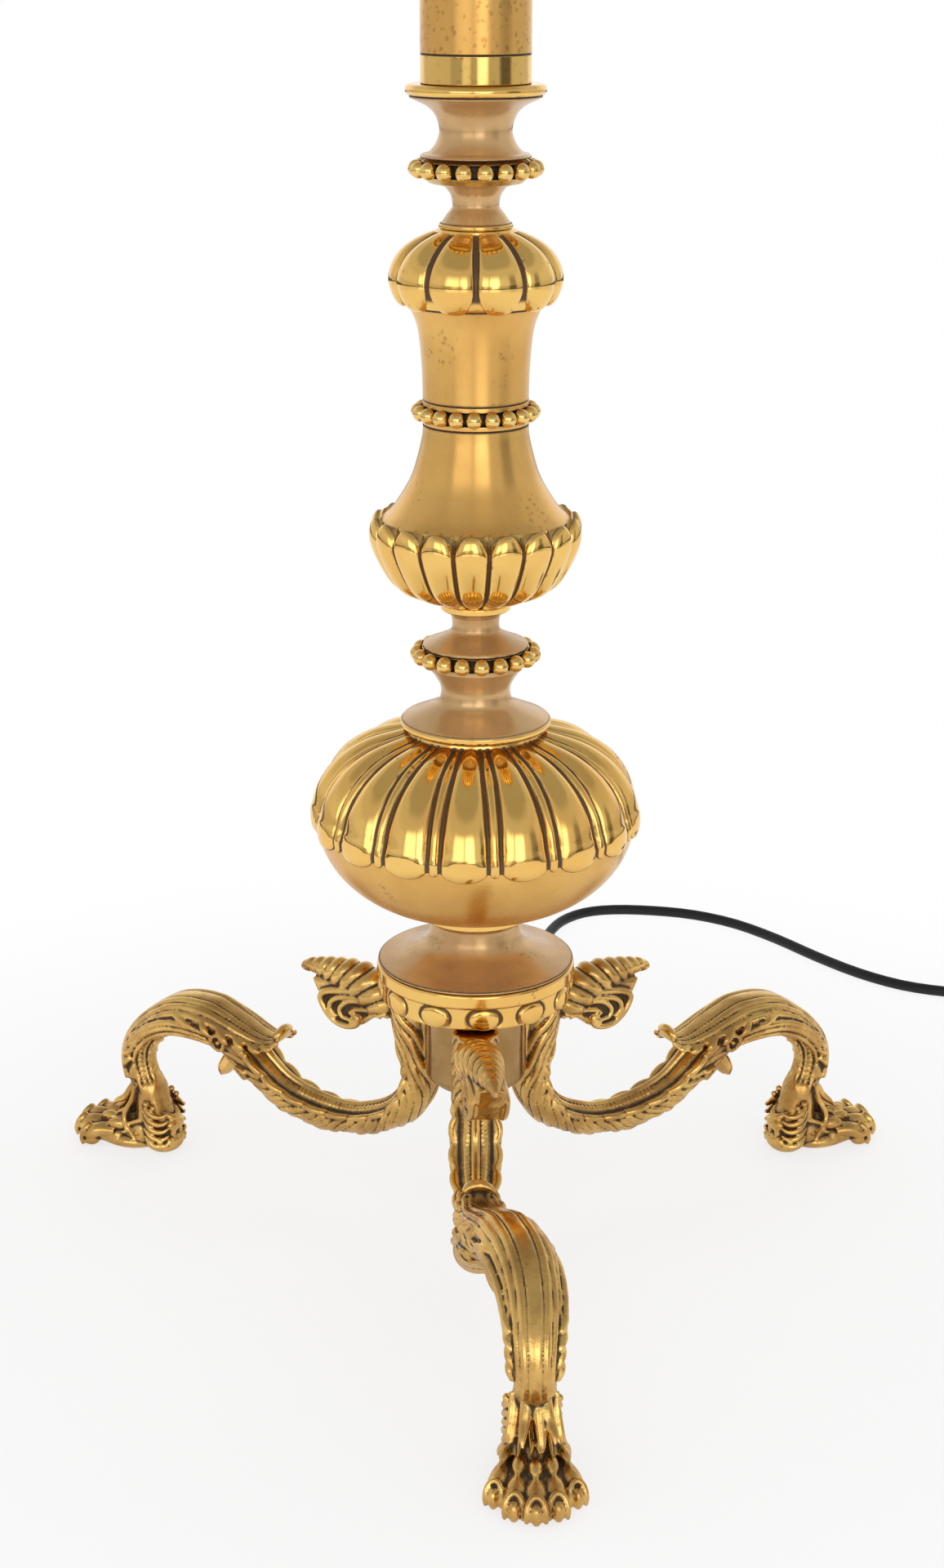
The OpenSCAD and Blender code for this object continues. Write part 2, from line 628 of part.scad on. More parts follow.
// Cup
module cup_stem() {
  d = stem_disc_d / 2;
  n = stem_neck_d / 2;
  color(satin) turned(concat([[d, z_stem], [d, z_stem + 1.4]], curve([[d - 0.6, z_stem + 1.8],
    [n + 7, z_stem + stem_h * 0.25], [n + 1.2, z_stem + stem_h * 0.42], [n, z_stem + stem_h * 0.62],
    [n + 0.6, z_stem + stem_h * 0.84]], 4), [[n + 2.6, z_cup_ring]]), rod_hole_r);
}

module cup_foot_ring() {
  r = cup_ring_d / 2;
  color(polished) turned(concat([[r - 1.2, z_cup_ring]], arc([r - cup_ring_h / 2, z_cup_ring + cup_ring_h / 2],
    cup_ring_h / 2, cup_ring_h / 2, -60, 60, 6), [[r - 1.2, z_cup]]), rod_hole_r);
}

module gadroon_cup() {
  e = cup_d / 2;
  foot = 24;
  seat = sleeve_foot_d / 2 + 0.4;
  rim = z_low_sleeve + cup_rim_h;
  h = cup_seat_h;
  rows = [[foot, z_cup, 0.5, 0], [e - 19, z_cup + h * 0.13, 0.85, 0], [e - 10.4, z_cup + h * 0.34, 1, 0],
    [e - 3.2, z_cup + h * 0.64, 1, 0], [e, z_cup + h * 0.94, 1, 0], [e - 1, rim - 1.6, 0.8, -0.6],
    [seat + 1.2, rim, 0.1, -0.6], [seat, rim - 0.4, 0, -0.6], [seat, z_low_sleeve, 0, 0],
    [seat - 9, z_low_sleeve, 0, 0], [rod_hole_r + 0.1, z_cup + 9, 0, 0],
    [rod_hole_r + 0.1, z_cup, 0, 0]];
  flipped_rows = [for (i = [len(rows) - 1:-1:0]) rows[i]];
  color(polished) lobed_shell(flipped_rows, cup_cols, cup_lobes, cup_groove, cup_rim_h, -92.5);
}

// Sleeves and cap
low_sleeve_shape = [[0, 1], [5, 0.985], [10.5, 0.73], [18.5, 0.475], [27, 0.26], [37, 0.115], [46, 0.02],
  [52, 0]];
function last_height(shape) = shape[len(shape) - 1][0];

function low_sleeve_line() = let (step = low_sleeve_h / last_height(low_sleeve_shape))
  curve([for (q = low_sleeve_shape) [sleeve_waist_d / 2 + q[1] * (sleeve_foot_d - sleeve_waist_d) / 2,
    z_low_sleeve + q[0] * step]], 3);

module lower_sleeve() {
  outline = low_sleeve_line();
  n = len(outline);
  hollow = [for (i = [n - 1:-1:3]) [outline[i][0] - shell_wall, outline[i][1]]];
  color(satin) rotate_extrude($fn = 120)
    polygon(concat([[rod_hole_r, z_low_sleeve]], outline, hollow, [[hollow[len(hollow) - 1][0], z_low_sleeve +
      shell_wall], [rod_hole_r, z_low_sleeve + shell_wall]]));
}

module middle_bead_ring() {
  bead_ring(z_mid_ring, mid_ring_h, sleeve_waist_d / 2, mid_bead_pcd / 2 - 0.6, mid_bead_pcd, z_mid_ring +
    mid_ring_h / 2, mid_beads, bead_d, -90);
}

up_sleeve_shape = [[0, 0], [12, 0.03], [22, 0.12], [30, 0.24], [36, 0.42], [41, 0.7], [44.9, 1]];

module upper_sleeve() {
  outline = curve([for (q = up_sleeve_shape) [sleeve_waist_d / 2 + q[1] * (sleeve_head_d - sleeve_waist_d) / 2,
    z_up_sleeve + q[0] * up_sleeve_h / last_height(up_sleeve_shape)]], 3);
  n = len(outline);
  hollow = [for (i = [n - 1:-1:1]) [outline[i][0] - shell_wall, outline[i][1]]];
  color(satin) rotate_extrude($fn = 120)
    polygon(concat([[rod_hole_r, z_up_sleeve]], outline, hollow, [[hollow[len(hollow) - 1][0], z_up_sleeve +
      shell_wall], [rod_hole_r, z_up_sleeve + shell_wall]]));
}

module gadroon_cap() {
  e = cap_d / 2;
  base = sleeve_head_d / 2;
  top_r = cap_lip_d / 2 + 0.4;
  h = cap_h;
  rows = [[base, z_cap, 0, 0], [base + 3, z_cap + 1.4, 0.5, 0], [e - 2.4, z_cap + h * 0.13, 0.9, 0],
    [e, z_cap + h * 0.33, 1, 0], [e - 1.3, z_cap + h * 0.5, 1, 0], [e - 4.6, z_cap + h * 0.64, 1, 0],
    [e - 9.6, z_cap + h * 0.78, 0.9, 0], [e - 16, z_cap + h * 0.9, 0.7, 0], [top_r, z_cap_spool, 0.3, 0],
    [rod_hole_r + 0.1, z_cap_spool, 0, 0], [rod_hole_r + 0.1, z_cap_spool - 6, 0, 0],
    [base - 5, z_cap + h * 0.45, 0, 0], [base - 5, z_cap, 0, 0]];
  flipped_rows = [for (i = [len(rows) - 1:-1:0]) rows[i]];
  color(polished) lobed_shell(flipped_rows, cap_cols, cap_lobes, cap_groove, 0, -72);
}

// Upper spools
module cap_spool() {
  l = cap_lip_d / 2;
  n = cap_neck_d / 2;
  color(satin) turned(concat([[l - 0.6, z_cap_spool], [l, z_cap_spool + 0.8], [l, z_cap_spool + 2],
    [l - 0.8, z_cap_spool + 2.6]], curve([[l - 1.4, z_cap_spool + 3], [n + 2.6, z_cap_spool + 6.4],
    [n + 0.2, z_cap_spool + 9.6], [n, z_cap_spool + 12], [n + 1, z_cap_spool + 15.6],
    [n + 3.6, z_cap_spool + 19]], 4), [[n + 9, z_up_ring]]), rod_hole_r);
}

module upper_bead_ring() {
  bead_ring(z_up_ring, up_ring_h, cap_neck_d / 2 + 10.6, up_bead_pcd / 2 - 1, up_bead_pcd,
    z_up_ring + up_ring_h * 0.56, up_beads, up_bead_d, -90);
}

function waist_line() = let (s = waist_small_d / 2, w = waist_d / 2, b = waist_big_d / 2, h = waist_h)
  concat([[s, 0], [s, h * 0.03]], curve([[s - 1.2, h * 0.06], [w + 4.6, h * 0.1], [w + 1.4, h * 0.25],
  [w, h * 0.45], [w + 1.7, h * 0.67], [w + 5.6, h * 0.82], [b - 2, h * 0.93]], 4), [[b, h * 0.96], [b, h]]);

module waisted_spool() {
  color(satin) turned(raised(waist_line(), z_waist), rod_hole_r);
}

function rim_line(z) = concat([[flange_d / 2 - 2, z]], arc([flange_d / 2 - flange_h / 2, z + flange_h / 2],
  flange_h / 2, flange_h / 2, -75, 75, 8), [[flange_d / 2 - 2, z + flange_h]]);

module column_flange() {
  color(polished) turned(rim_line(z_flange), rod_hole_r);
}

// A ferrule carries a spigot that centres the column tube
module ferrule(z, spigot_from, spigot_to) {
  r = tube_d / 2;
  s = r - tube_wall - spigot_gap;
  groove = 0.4;
  lower = spigot_from < z ? [[s, spigot_from], [s, z]] : [];
  upper = spigot_to > z + ferrule_h ? [[s, z + ferrule_h], [s, spigot_to]] : [];
  color(polished) turned(concat(lower, [[r - groove, z], [r, z + groove], [r, z + ferrule_h - groove],
    [r - groove, z + ferrule_h]], upper), rod_hole_r);
}

module bottom_ferrule() {
  ferrule(z_ferrule, z_ferrule, z_tube + tube_spigot_h);
}

module column_tube() {
  color(satin) turned([[tube_d / 2, z_tube], [tube_d / 2, z_top_ferrule]], tube_d / 2 - tube_wall);
}

module top_ferrule() {
  ferrule(z_top_ferrule, z_top_ferrule - tube_spigot_h, z_top_flange);
}

module top_flange() {
  color(polished) turned(rim_line(z_top_flange), rod_hole_r);
}

module top_spool() {
  color(satin) turned(flipped(waist_line(), z_drip), rod_hole_r);
}

module drip_dish() {
  r = drip_d / 2;
  rim = 2;
  outline = curve([[waist_small_d / 2 - 1, z_drip], [r - 5, z_drip + drip_h * 0.4],
    [r - 1.4, z_drip + drip_h * 0.75], [r, z_drip + drip_h]], 4);
  inner = [[r - rim, z_drip + drip_h], [r - rim - drip_recess, z_drip + drip_floor]];
  color(satin) rotate_extrude($fn = 120)
    polygon(concat([[rod_hole_r, z_drip]], outline, inner, [[rod_hole_r, z_drip + drip_floor]]));
}

// Tie rod
module tie_rod() {
  color(iron) turned([[rod_r, rod_z], [rod_r, z_holder + holder_entry_h]], rod_bore_d / 2);
}

module bottom_washer() { color(iron) washer_disc(web_z - washer_h); }
module bottom_nut() { color(iron) hex_nut(nut_z); }
module top_washer() { color(iron) washer_disc(z_drip + drip_floor); }
module top_nut() { color(iron) hex_nut(top_nut_z); }

// Lampholder
holder_cap_h = 20;
housing_h = 18;
skirt_h = 28;
holder_wall = 1.4;
z_housing = z_holder + holder_cap_h;
z_skirt = z_housing + housing_h;
z_holder_top = z_skirt + skirt_h;
bar_z = z_housing + housing_h / 2;
insert_floor = 4;
contact_h = 2;
contact_r = 4;
contact_post_r = 1.6;
bar_fit = 0.06;
terminal_x = 9;
terminal_r = 1.5;
terminal_depth = 6;
block_z = z_housing + 2;
block_top = z_skirt - 2;
socket_wall = 0.8;
housing_r = housing_d / 2;
skirt_r = skirt_d / 2;
thread_r = skirt_r + 1;
shade_ring_h = 5;

module holder_cap() {
  entry_r = rod_r + 3.2;
  centre = [entry_r, z_housing - 1];
  inner_r = housing_r - holder_wall;
  outline = concat([[entry_r, z_holder], [entry_r, z_holder + 4]],
    arc(centre, housing_r - entry_r, holder_cap_h - 6, -80, 0, 8), [[housing_r, z_housing]]);
  inner = concat([[inner_r, z_housing]], arc(centre, inner_r - entry_r, holder_cap_h - 7.6, 0, -78, 6));
  color(polished) rotate_extrude($fn = 96)
    polygon(concat([[rod_hole_r, z_holder]], outline, inner, [[rod_hole_r, z_holder + holder_entry_h - 1.5]]));
}

module holder_housing() {
  color(polished) difference() {
    turned([[housing_r, z_housing], [housing_r, z_skirt]], housing_r - holder_wall);
    translate([-housing_r - 2, 0, bar_z]) rotate([0, 90, 0])
      cylinder(h = housing_d + 4, r = bar_d / 2 + bar_fit, $fn = 48);
  }
}

// The moulded block that the push bar switches in, with the flex's two terminals in its underside
module switch_block() {
  r = housing_r - holder_wall - spigot_gap;
  color("#2a2724") difference() {
    turned([[r, block_z], [r, block_top]], 1);
    translate([-housing_r, 0, bar_z]) rotate([0, 90, 0])
      cylinder(h = housing_d, r = bar_d / 2 + bar_fit, $fn = 48);
    for (x = [-terminal_x, terminal_x]) translate([x, terminal_x, block_z - 1])
      cylinder(h = 1 + terminal_depth, r = terminal_r + 0.05, $fn = 24);
  }
}

module terminal_screws() {
  color(iron) for (x = [-terminal_x, terminal_x]) translate([x, terminal_x, block_z]) {
    cylinder(h = terminal_depth, r = terminal_r, $fn = 24);
    translate([0, 0, -1.4]) cylinder(h = 1.4, r = terminal_r * 1.7, $fn = 32);
  }
}

module holder_skirt() {
  foot = z_skirt + shade_ring_h + 1.2;
  color(polished) turned([[thread_r, z_skirt], [thread_r, foot], [skirt_r, foot], [skirt_r, z_holder_top]],
    skirt_r - holder_wall);
}

module holder_insert() {
  r = skirt_r - holder_wall - spigot_gap;
  floor_z = z_skirt + insert_floor;
  color("#e9e4d8") difference() {
    turned([[r, z_skirt], [r, z_holder_top - 2]], contact_post_r + 0.1);
    translate([0, 0, floor_z]) cylinder(h = skirt_h, r = socket_d / 2 + socket_wall + 0.1, $fn = 72);
    translate([0, 0, floor_z - contact_h]) cylinder(h = contact_h + 1, r = contact_r + 0.1, $fn = 32);
  }
}

module socket_shell() {
  color(polished) turned([[socket_d / 2 + socket_wall, z_skirt + insert_floor], [socket_d / 2 + socket_wall,
    z_holder_top - 3]], socket_d / 2);
}

module socket_contact() {
  color(polished) {
    translate([0, 0, block_top])
      cylinder(h = z_skirt + insert_floor - contact_h - block_top, r = contact_post_r, $fn = 24);
    translate([0, 0, z_skirt + insert_floor - contact_h]) cylinder(h = contact_h, r = contact_r, $fn = 32);
  }
}

module shade_ring() {
  color(polished) turned([[shade_ring_d / 2 - 1, z_skirt + 1], [shade_ring_d / 2, z_skirt + 2],
    [shade_ring_d / 2, z_skirt + shade_ring_h], [shade_ring_d / 2 - 1, z_skirt + 1 + shade_ring_h]],
    thread_r + 0.1);
}

module switch_bar() {
  knob_r = bar_d * 0.8;
  knob_h = 5;
  slack = 1;
  left = -housing_r - slack;
  right = housing_r + slack + bar_travel;
  color(rubber) translate([0, 0, bar_z]) rotate([0, 90, 0]) {
    translate([0, 0, left - 0.5]) cylinder(h = right - left + 1, r = bar_d / 2, $fn = 48);
    translate([0, 0, right]) cylinder(h = knob_h, r = knob_r, $fn = 40);
    translate([0, 0, left - knob_h]) cylinder(h = knob_h, r = knob_r, $fn = 40);
  }
}

// Flex: a tube swept along points, square to its route at both ends
flex_r = flex_d / 2;
flex_sides = 8;

function unit(v) = v / norm(v);
// Each ring lies across the route; its first axis is level unless a fixed one is given
function tube_ring(p, t, n, level) = let (u = unit(t),
    s = level == undef ? unit(cross([0, 0, 1], u)) : level, w = cross(u, s))
  [for (j = [0:n - 1]) let (a = (j + 0.5) * 360 / n) p + flex_r * (s * cos(a) - w * sin(a))];
function tube_rings(p, n, level) = let (last = len(p) - 1)
  [for (i = [0:last]) tube_ring(p[i], p[min(i + 1, last)] - p[max(i - 1, 0)], n, level)];

module flex(points, n, level) {
  color(rubber) strip(tube_rings(points, n, level), false);
}

bush_end_y = bush_seat_y + bush_flange_h + bush_len;

// Inside the lamp: up the rod to the lampholder's terminals
module inner_flex() {
  bend = rod_z - outlet_z;
  flex(concat([[0, 0, block_z], [0, 0, rod_z]], curve([[0, 0, rod_z - bend * 0.12],
    [0, 1.4, rod_z - bend * 0.45], [0, 6, outlet_z + bend * 0.22], [0, 13, outlet_z + bend * 0.03]], 3),
    [[0, bush_seat_y - 7, outlet_z], [0, bush_end_y, outlet_z]]), flex_sides, [-1, 0, 0]);
}

module outlet_bush() {
  lip = 6.5;
  color(rubber) translate([0, bush_seat_y, outlet_z]) rotate([-90, 0, 0])
    turned([[bush_r, -lip], [bush_r, 0], [bush_flange_r, 0], [bush_flange_r, bush_flange_h - 0.8],
      [bush_flange_r - 0.8, bush_flange_h], [bush_r - 0.6, bush_flange_h + 0.4],
      [flex_r + 1.3, bush_flange_h + bush_len]],
      flex_r + 0.1);
}

// Route of the free stretch, chosen by hand: straight out of the bush, down to the floor and away behind
run_points = [[0, 66, 107], [0, 84, 102], [0, 104, 91], [1, 124, 75], [2, 142, 57], [3, 158, 39],
  [5, 176, 22], [8, 198, 10], [12, 226, 4.6], [18, 262, 3.4], [26, 302, 3.4], [35, 344, 3.4], [43, 382, 3.4],
  [50, 412, 3.4], [60, 436, 3.4], [76, 452, 3.4], [97, 458, 3.4], [125, 456, 3.4], [153, 448, 3.4],
  [180, 431, 3.4], [205, 404, 3.4], [228, 373, 3.4], [252, 345, 3.4], [277, 325, 3.4], [303, 314, 3.6]];

// The spare length: a coil of two layers that spirals in and out again
coil_centre = [364, 340];
coil_start_turn = 233;
coil_layer_gap = 0.6;
coil_dip = 1.2;
tie_wall = 1.2;
coil_low = flex_r + tie_wall;
layer_step = flex_d + coil_layer_gap;
coil_r_out = coil_r_in + coil_pitch * coil_turns;
coil_span = coil_turns * 720 + 180;
coil_sides = 6;
coil_step = 15;

function coil_point(a) = let (
    spiral = coil_turns * 360,
    r = a < spiral ? coil_r_out - coil_pitch * a / 360
      : a < spiral + 180 ? coil_r_in - coil_dip * sin(a - spiral)
      : coil_r_in + coil_pitch * (a - spiral - 180) / 360,
    z = coil_low + layer_step * smooth((a - spiral) / 180),
    b = coil_start_turn + a)
  [coil_centre[0] + r * cos(b), coil_centre[1] + r * sin(b), z];

coil_turn_points = [for (a = [0:coil_step:coil_span]) coil_point(a)];
coil_last = len(coil_turn_points) - 1;
coil_in_dir = unit(coil_turn_points[1] - coil_turn_points[0]);
coil_out_dir = unit(coil_turn_points[coil_last] - coil_turn_points[coil_last - 1]);
coil_entry = coil_turn_points[0] - flex_d * coil_in_dir;
tail_len = 2 + sqrt(pow(coil_r_out + flex_r, 2) - pow(coil_r_out - plug_w / 2, 2));
coil_exit = coil_turn_points[coil_last] + tail_len * coil_out_dir;
coil_points = concat([coil_entry], coil_turn_points, [coil_exit]);
coil_gap = min([for (i = [0:coil_last - 14]) for (j = [i + 14:coil_last])
  norm(coil_turn_points[i] - coil_turn_points[j])]) - flex_d;
echo(coil_gap_mm = coil_gap);

module cord_run() {
  lead = coil_entry - flex_d * coil_in_dir;
  flex(concat([[0, bush_end_y, outlet_z]], curve(concat([[0, bush_end_y + flex_d, outlet_z]], run_points,
    [lead]), 2), [coil_entry]), flex_sides);
}

module cord_coil() {
  flex(coil_points, coil_sides);
}

// A strap round all the turns on one side of the coil
tie_turn = 175;
tie_w = 10;
module coil_tie() {
  room = 0.4;
  in = coil_r_in - flex_r - room - coil_dip;
  out = coil_r_out + flex_r + room + 0.6;
  top = coil_low + layer_step + flex_r + room;
  color(rubber) translate([coil_centre[0], coil_centre[1], 0]) rotate([0, 0, tie_turn])
    translate([0, tie_w / 2, 0]) rotate([90, 0, 0]) linear_extrude(tie_w) difference() {
      translate([in - tie_wall, 0]) square([out - in + 2 * tie_wall, top + tie_wall]);
      translate([in, tie_wall - 0.4]) square([out - in, top - tie_wall + 0.4]);
    }
}

// Plug, lying on its cover with the pins up; drawn with the flex coming in along +Y
plug_corner = 9;
plug_split = flex_d / 2 + 8.6;

module plug_place() {
  turn = atan2(coil_out_dir[1], coil_out_dir[0]) - 90;
  translate([coil_exit[0], coil_exit[1], 0]) rotate([0, 0, turn]) children();
}

module plug_outline(shrink) {
  w = plug_w / 2 - shrink;
  back = 12;
  polygon(concat([[-back + shrink, shrink], [back - shrink, shrink]],
    arc([w - plug_corner, plug_l * 0.42], plug_corner, plug_corner, -30, 0, 3),
    arc([w - plug_corner, plug_l - shrink - plug_corner], plug_corner, plug_corner, 0, 90, 6),
    arc([-w + plug_corner, plug_l - shrink - plug_corner], plug_corner, plug_corner, 90, 180, 6),
    arc([-w + plug_corner, plug_l * 0.42], plug_corner, plug_corner, 180, 210, 3)));
}

module plug_body() {
  color(rubber) plug_place() difference() {
    union() {
      translate([0, 0, plug_split]) linear_extrude(plug_h - plug_split - 2) plug_outline(0);
      translate([0, 0, plug_h - 2]) linear_extrude(2) plug_outline(1.2);
    }
    translate([0, plug_l * 0.52, plug_split - 1]) cylinder(h = 6, r = 1.8, $fn = 24);
  }
}

module plug_cover() {
  color(rubber) plug_place() difference() {
    union() {
      linear_extrude(1.6) plug_outline(1);
      translate([0, 0, 1.6]) linear_extrude(plug_split - 1.6) plug_outline(0);
    }
    translate([0, plug_l * 0.52, -1]) cylinder(h = plug_split + 2, r = 1.8, $fn = 24);
    translate([0, plug_l * 0.52, -1]) cylinder(h = 4, r = 3.7, $fn = 32);
  }
}

module plug_screw() {
  color(iron) plug_place() translate([0, plug_l * 0.52, 0]) {
    translate([0, 0, 0.6]) cylinder(h = 2.4, r = 3.4, $fn = 32);
    translate([0, 0, 3]) cylinder(h = plug_split + 1.5, r = 1.7, $fn = 24);
  }
}

// Three flat pins, each with its width, thickness and length: the earth pin is the longer one
earth_pin = [4, 8, 22.7];
line_pin = [6.35, 4, 17.7];
pin_x = 11;
pin_back = 22.2;
module plug_pin(x, y, size) {
  translate([x - size[0] / 2, y - size[1] / 2, plug_h]) cube(size);
}

module plug_pins() {
  color(polished) plug_place() {
    plug_pin(0, plug_l * 0.76, earth_pin);
    for (x = [-pin_x, pin_x]) plug_pin(x, plug_l * 0.76 - pin_back, line_pin);
  }
}

leg_front();
leg_left();
leg_right();
leg_screws();
hub_core();
hub_cap();
hub_drum();
trumpet();
ball_foot_ring();
ball_bowl();
ball_dome();
ball_spool();
lower_bead_ring();
cup_stem();
cup_foot_ring();
gadroon_cup();
lower_sleeve();
middle_bead_ring();
upper_sleeve();
gadroon_cap();
cap_spool();
upper_bead_ring();
waisted_spool();
column_flange();
bottom_ferrule();
column_tube();
top_ferrule();
top_flange();
top_spool();
drip_dish();
tie_rod();
bottom_washer();
bottom_nut();
top_washer();
top_nut();
earth_screw();
inner_flex();
outlet_bush();
cord_run();
cord_coil();
coil_tie();
plug_body();
plug_cover();
plug_pins();
plug_screw();
holder_cap();
holder_housing();
holder_skirt();
holder_insert();
socket_shell();
socket_contact();
shade_ring();
switch_block();
terminal_screws();
switch_bar();
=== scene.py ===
import json
import math

import bmesh
import bpy
import numpy as np
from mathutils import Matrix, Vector


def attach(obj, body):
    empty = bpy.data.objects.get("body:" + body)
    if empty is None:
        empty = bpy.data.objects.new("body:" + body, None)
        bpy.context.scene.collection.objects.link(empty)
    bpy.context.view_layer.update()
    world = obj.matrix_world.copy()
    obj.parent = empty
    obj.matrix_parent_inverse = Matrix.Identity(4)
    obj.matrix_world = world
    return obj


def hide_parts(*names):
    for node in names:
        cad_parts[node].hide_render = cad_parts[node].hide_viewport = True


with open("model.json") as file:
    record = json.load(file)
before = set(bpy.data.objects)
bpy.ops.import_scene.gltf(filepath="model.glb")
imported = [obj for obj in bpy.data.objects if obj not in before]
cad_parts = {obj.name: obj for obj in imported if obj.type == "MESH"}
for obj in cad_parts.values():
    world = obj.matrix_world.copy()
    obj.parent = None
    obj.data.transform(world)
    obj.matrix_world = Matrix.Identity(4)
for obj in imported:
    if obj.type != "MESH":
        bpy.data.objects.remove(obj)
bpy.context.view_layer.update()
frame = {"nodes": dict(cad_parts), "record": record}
mm = 0.001
carrier = "stand"  # the body of every piece but the push bar
# the attribute holds patina and dirt on every piece, and painted shade too on the bead rings and round the drum's coins
dirtAndShadeName = "patina"


# small helpers
def curvePoints(points, steps):  # the same smooth curve as in the part's source
    pts = np.array(points, float)
    last = len(pts) - 1
    rows = []
    for i in range(last):
        a, b = pts[max(i - 1, 0)], pts[i]
        c, d = pts[i + 1], pts[min(i + 2, last)]
        for k in range(steps):
            t = k / steps
            rows.append(0.5 * (2 * b + (c - a) * t + (2 * a - 5 * b + 4 * c - d) * t * t
                               + (3 * b - a - 3 * c + d) * t ** 3))
    rows.append(pts[last])
    return [tuple(r) for r in rows]


def arcPoints(centre, rx, rz, start, end, steps):
    angles = [math.radians(start + (end - start) * i / steps) for i in range(steps + 1)]
    return [(centre[0] + rx * math.cos(a), centre[1] + rz * math.sin(a)) for a in angles]


def smoothStep(low, high, value):
    t = np.clip((np.asarray(value, float) - low) / (high - low), 0, 1)
    return t * t * (3 - 2 * t)


def band(value, riseFrom, riseTo, fallFrom, fallTo):  # 1 inside a stretch, 0 outside it, with smooth ends
    return smoothStep(riseFrom, riseTo, value) * smoothStep(fallTo, fallFrom, value)


def bell(distance, width):  # 1 at no distance, falling off on both sides
    return np.exp(-(distance / width) ** 2)


def circleAngles(count):
    return np.linspace(0, 2 * math.pi, count, endpoint=False)


def wayAlong(line):  # the direction of a line at each of its points, of length 1
    way = np.gradient(line, axis=0)
    return way / np.maximum(np.linalg.norm(way, axis=1), 1e-6)[:, None]


def runAlong(line):  # how far along a line each of its points lies
    return np.concatenate([[0], np.cumsum(np.linalg.norm(np.diff(line, axis=0), axis=1))])


def turnedAbout(points, angle, shift=None):  # turned about the upright axis and then moved over the floor
    c, s = math.cos(angle), math.sin(angle)
    x, y, z = np.moveaxis(np.asarray(points, float), -1, 0)
    turned = np.stack([x * c - y * s, x * s + y * c, z], -1)
    return turned if shift is None else turned + (shift[0], shift[1], 0)


def makeObject(name, mesh):
    obj = bpy.data.objects.new(name, mesh)
    bpy.context.scene.collection.objects.link(obj)
    return obj


def evaluatedMesh(host):  # the mesh that an object's modifiers make, which takes the object's place
    graph = bpy.context.evaluated_depsgraph_get()
    mesh = bpy.data.meshes.new_from_object(host.evaluated_get(graph))
    bpy.data.objects.remove(host)
    return mesh


def meshFrom(name, verts, faces, dirtAndShade=None):  # verts in millimetres
    mesh = bpy.data.meshes.new(name)
    mesh.from_pydata((np.asarray(verts, float) * mm).tolist(), [], [list(map(int, f)) for f in faces])
    finishMesh(mesh, dirtAndShade)
    return mesh


def meshPlaces(mesh):
    place = np.empty(len(mesh.vertices) * 3)
    mesh.vertices.foreach_get("co", place)
    return place.reshape(-1, 3)


def smoothFaces(mesh):
    mesh.polygons.foreach_set("use_smooth", [True] * len(mesh.polygons))


def finishMesh(mesh, dirtAndShade=None):  # faces outwards and smooth, with the dirt and painted shade of each vertex
    mesh.validate()
    place = meshPlaces(mesh)
    mesh.calc_loop_triangles()
    corners = np.empty(len(mesh.loop_triangles) * 3, int)
    mesh.loop_triangles.foreach_get("vertices", corners)
    a, b, c = (place[corners[k::3]] for k in range(3))
    if np.einsum("ij,ij->i", a, np.cross(b, c)).sum() < 0:  # the sign of the volume
        mesh.flip_normals()
    smoothFaces(mesh)
    if dirtAndShade is not None:
        layer = mesh.attributes.new(dirtAndShadeName, "FLOAT", "POINT")
        layer.data.foreach_set("value", np.asarray(dirtAndShade, float).ravel()[:len(mesh.vertices)].tolist())
    mesh.update()


def gridFaces(rows, cols, closeRows, closeCols):
    r = np.arange(rows if closeRows else rows - 1)
    c = np.arange(cols if closeCols else cols - 1)
    rr, cc = np.meshgrid(r, c, indexing="ij")
    r2, c2 = (rr + 1) % rows, (cc + 1) % cols
    quads = np.stack([rr * cols + cc, rr * cols + c2, r2 * cols + c2, r2 * cols + cc], -1)
    return quads.reshape(-1, 4).tolist()


def cappedFaces(rows, cols):  # a tube of rings with its two ends filled
    return gridFaces(rows, cols, False, True) + [list(range(cols))[::-1], list(range((rows - 1) * cols, rows * cols))]


def addPiece(name, mesh, slot, node, look=None, body=carrier):
    obj = makeObject(name, mesh)
    mesh.materials.clear()
    mesh.materials.append(mats[look or slot])
    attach(obj, body)
    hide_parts(node)
    return obj


# camera
cameraView = {"place": (-0.0018, -1.190, 0.654), "tilt": 71.3, "lens": 58.1, "sensor": 36.0}
camData = bpy.data.cameras.new("lampCamera")
camData.lens = cameraView["lens"]
camData.sensor_width = cameraView["sensor"]
camera = bpy.data.objects.new("lampCamera", camData)
camera.location = cameraView["place"]
camera.rotation_euler = (math.radians(cameraView["tilt"]), 0, 0)
bpy.context.scene.collection.objects.link(camera)
bpy.context.scene.camera = camera
print("camera set")


# shader helpers and groups
def addNode(tree, kind, feeds=None, **settings):
    made = tree.nodes.new(kind)
    for key, value in settings.items():
        setattr(made, key, value)
    for key, value in (feeds or {}).items():
        if isinstance(value, bpy.types.NodeSocket):
            tree.links.new(value, made.inputs[key])
        else:
            made.inputs[key].default_value = value
    return made


def mathNode(tree, operation, a, b=0.0, clamp=False):
    return addNode(tree, "ShaderNodeMath", {0: a, 1: b}, operation=operation, use_clamp=clamp).outputs[0]


def rangeNode(tree, value, low, high, outLow=0.0, outHigh=1.0):
    made = addNode(tree, "ShaderNodeMapRange", {"Value": value, "From Min": low, "From Max": high,
                   "To Min": outLow, "To Max": outHigh}, interpolation_type="SMOOTHSTEP")
    return made.outputs["Result"]


def mixColour(tree, factor, a, b, blend="MIX"):
    made = tree.nodes.new("ShaderNodeMix")
    made.data_type = "RGBA"
    made.blend_type = blend
    for socket, value in ((made.inputs[0], factor), (made.inputs[6], a), (made.inputs[7], b)):
        if isinstance(value, bpy.types.NodeSocket):
            tree.links.new(value, socket)
        else:
            socket.default_value = value
    return made.outputs[2]


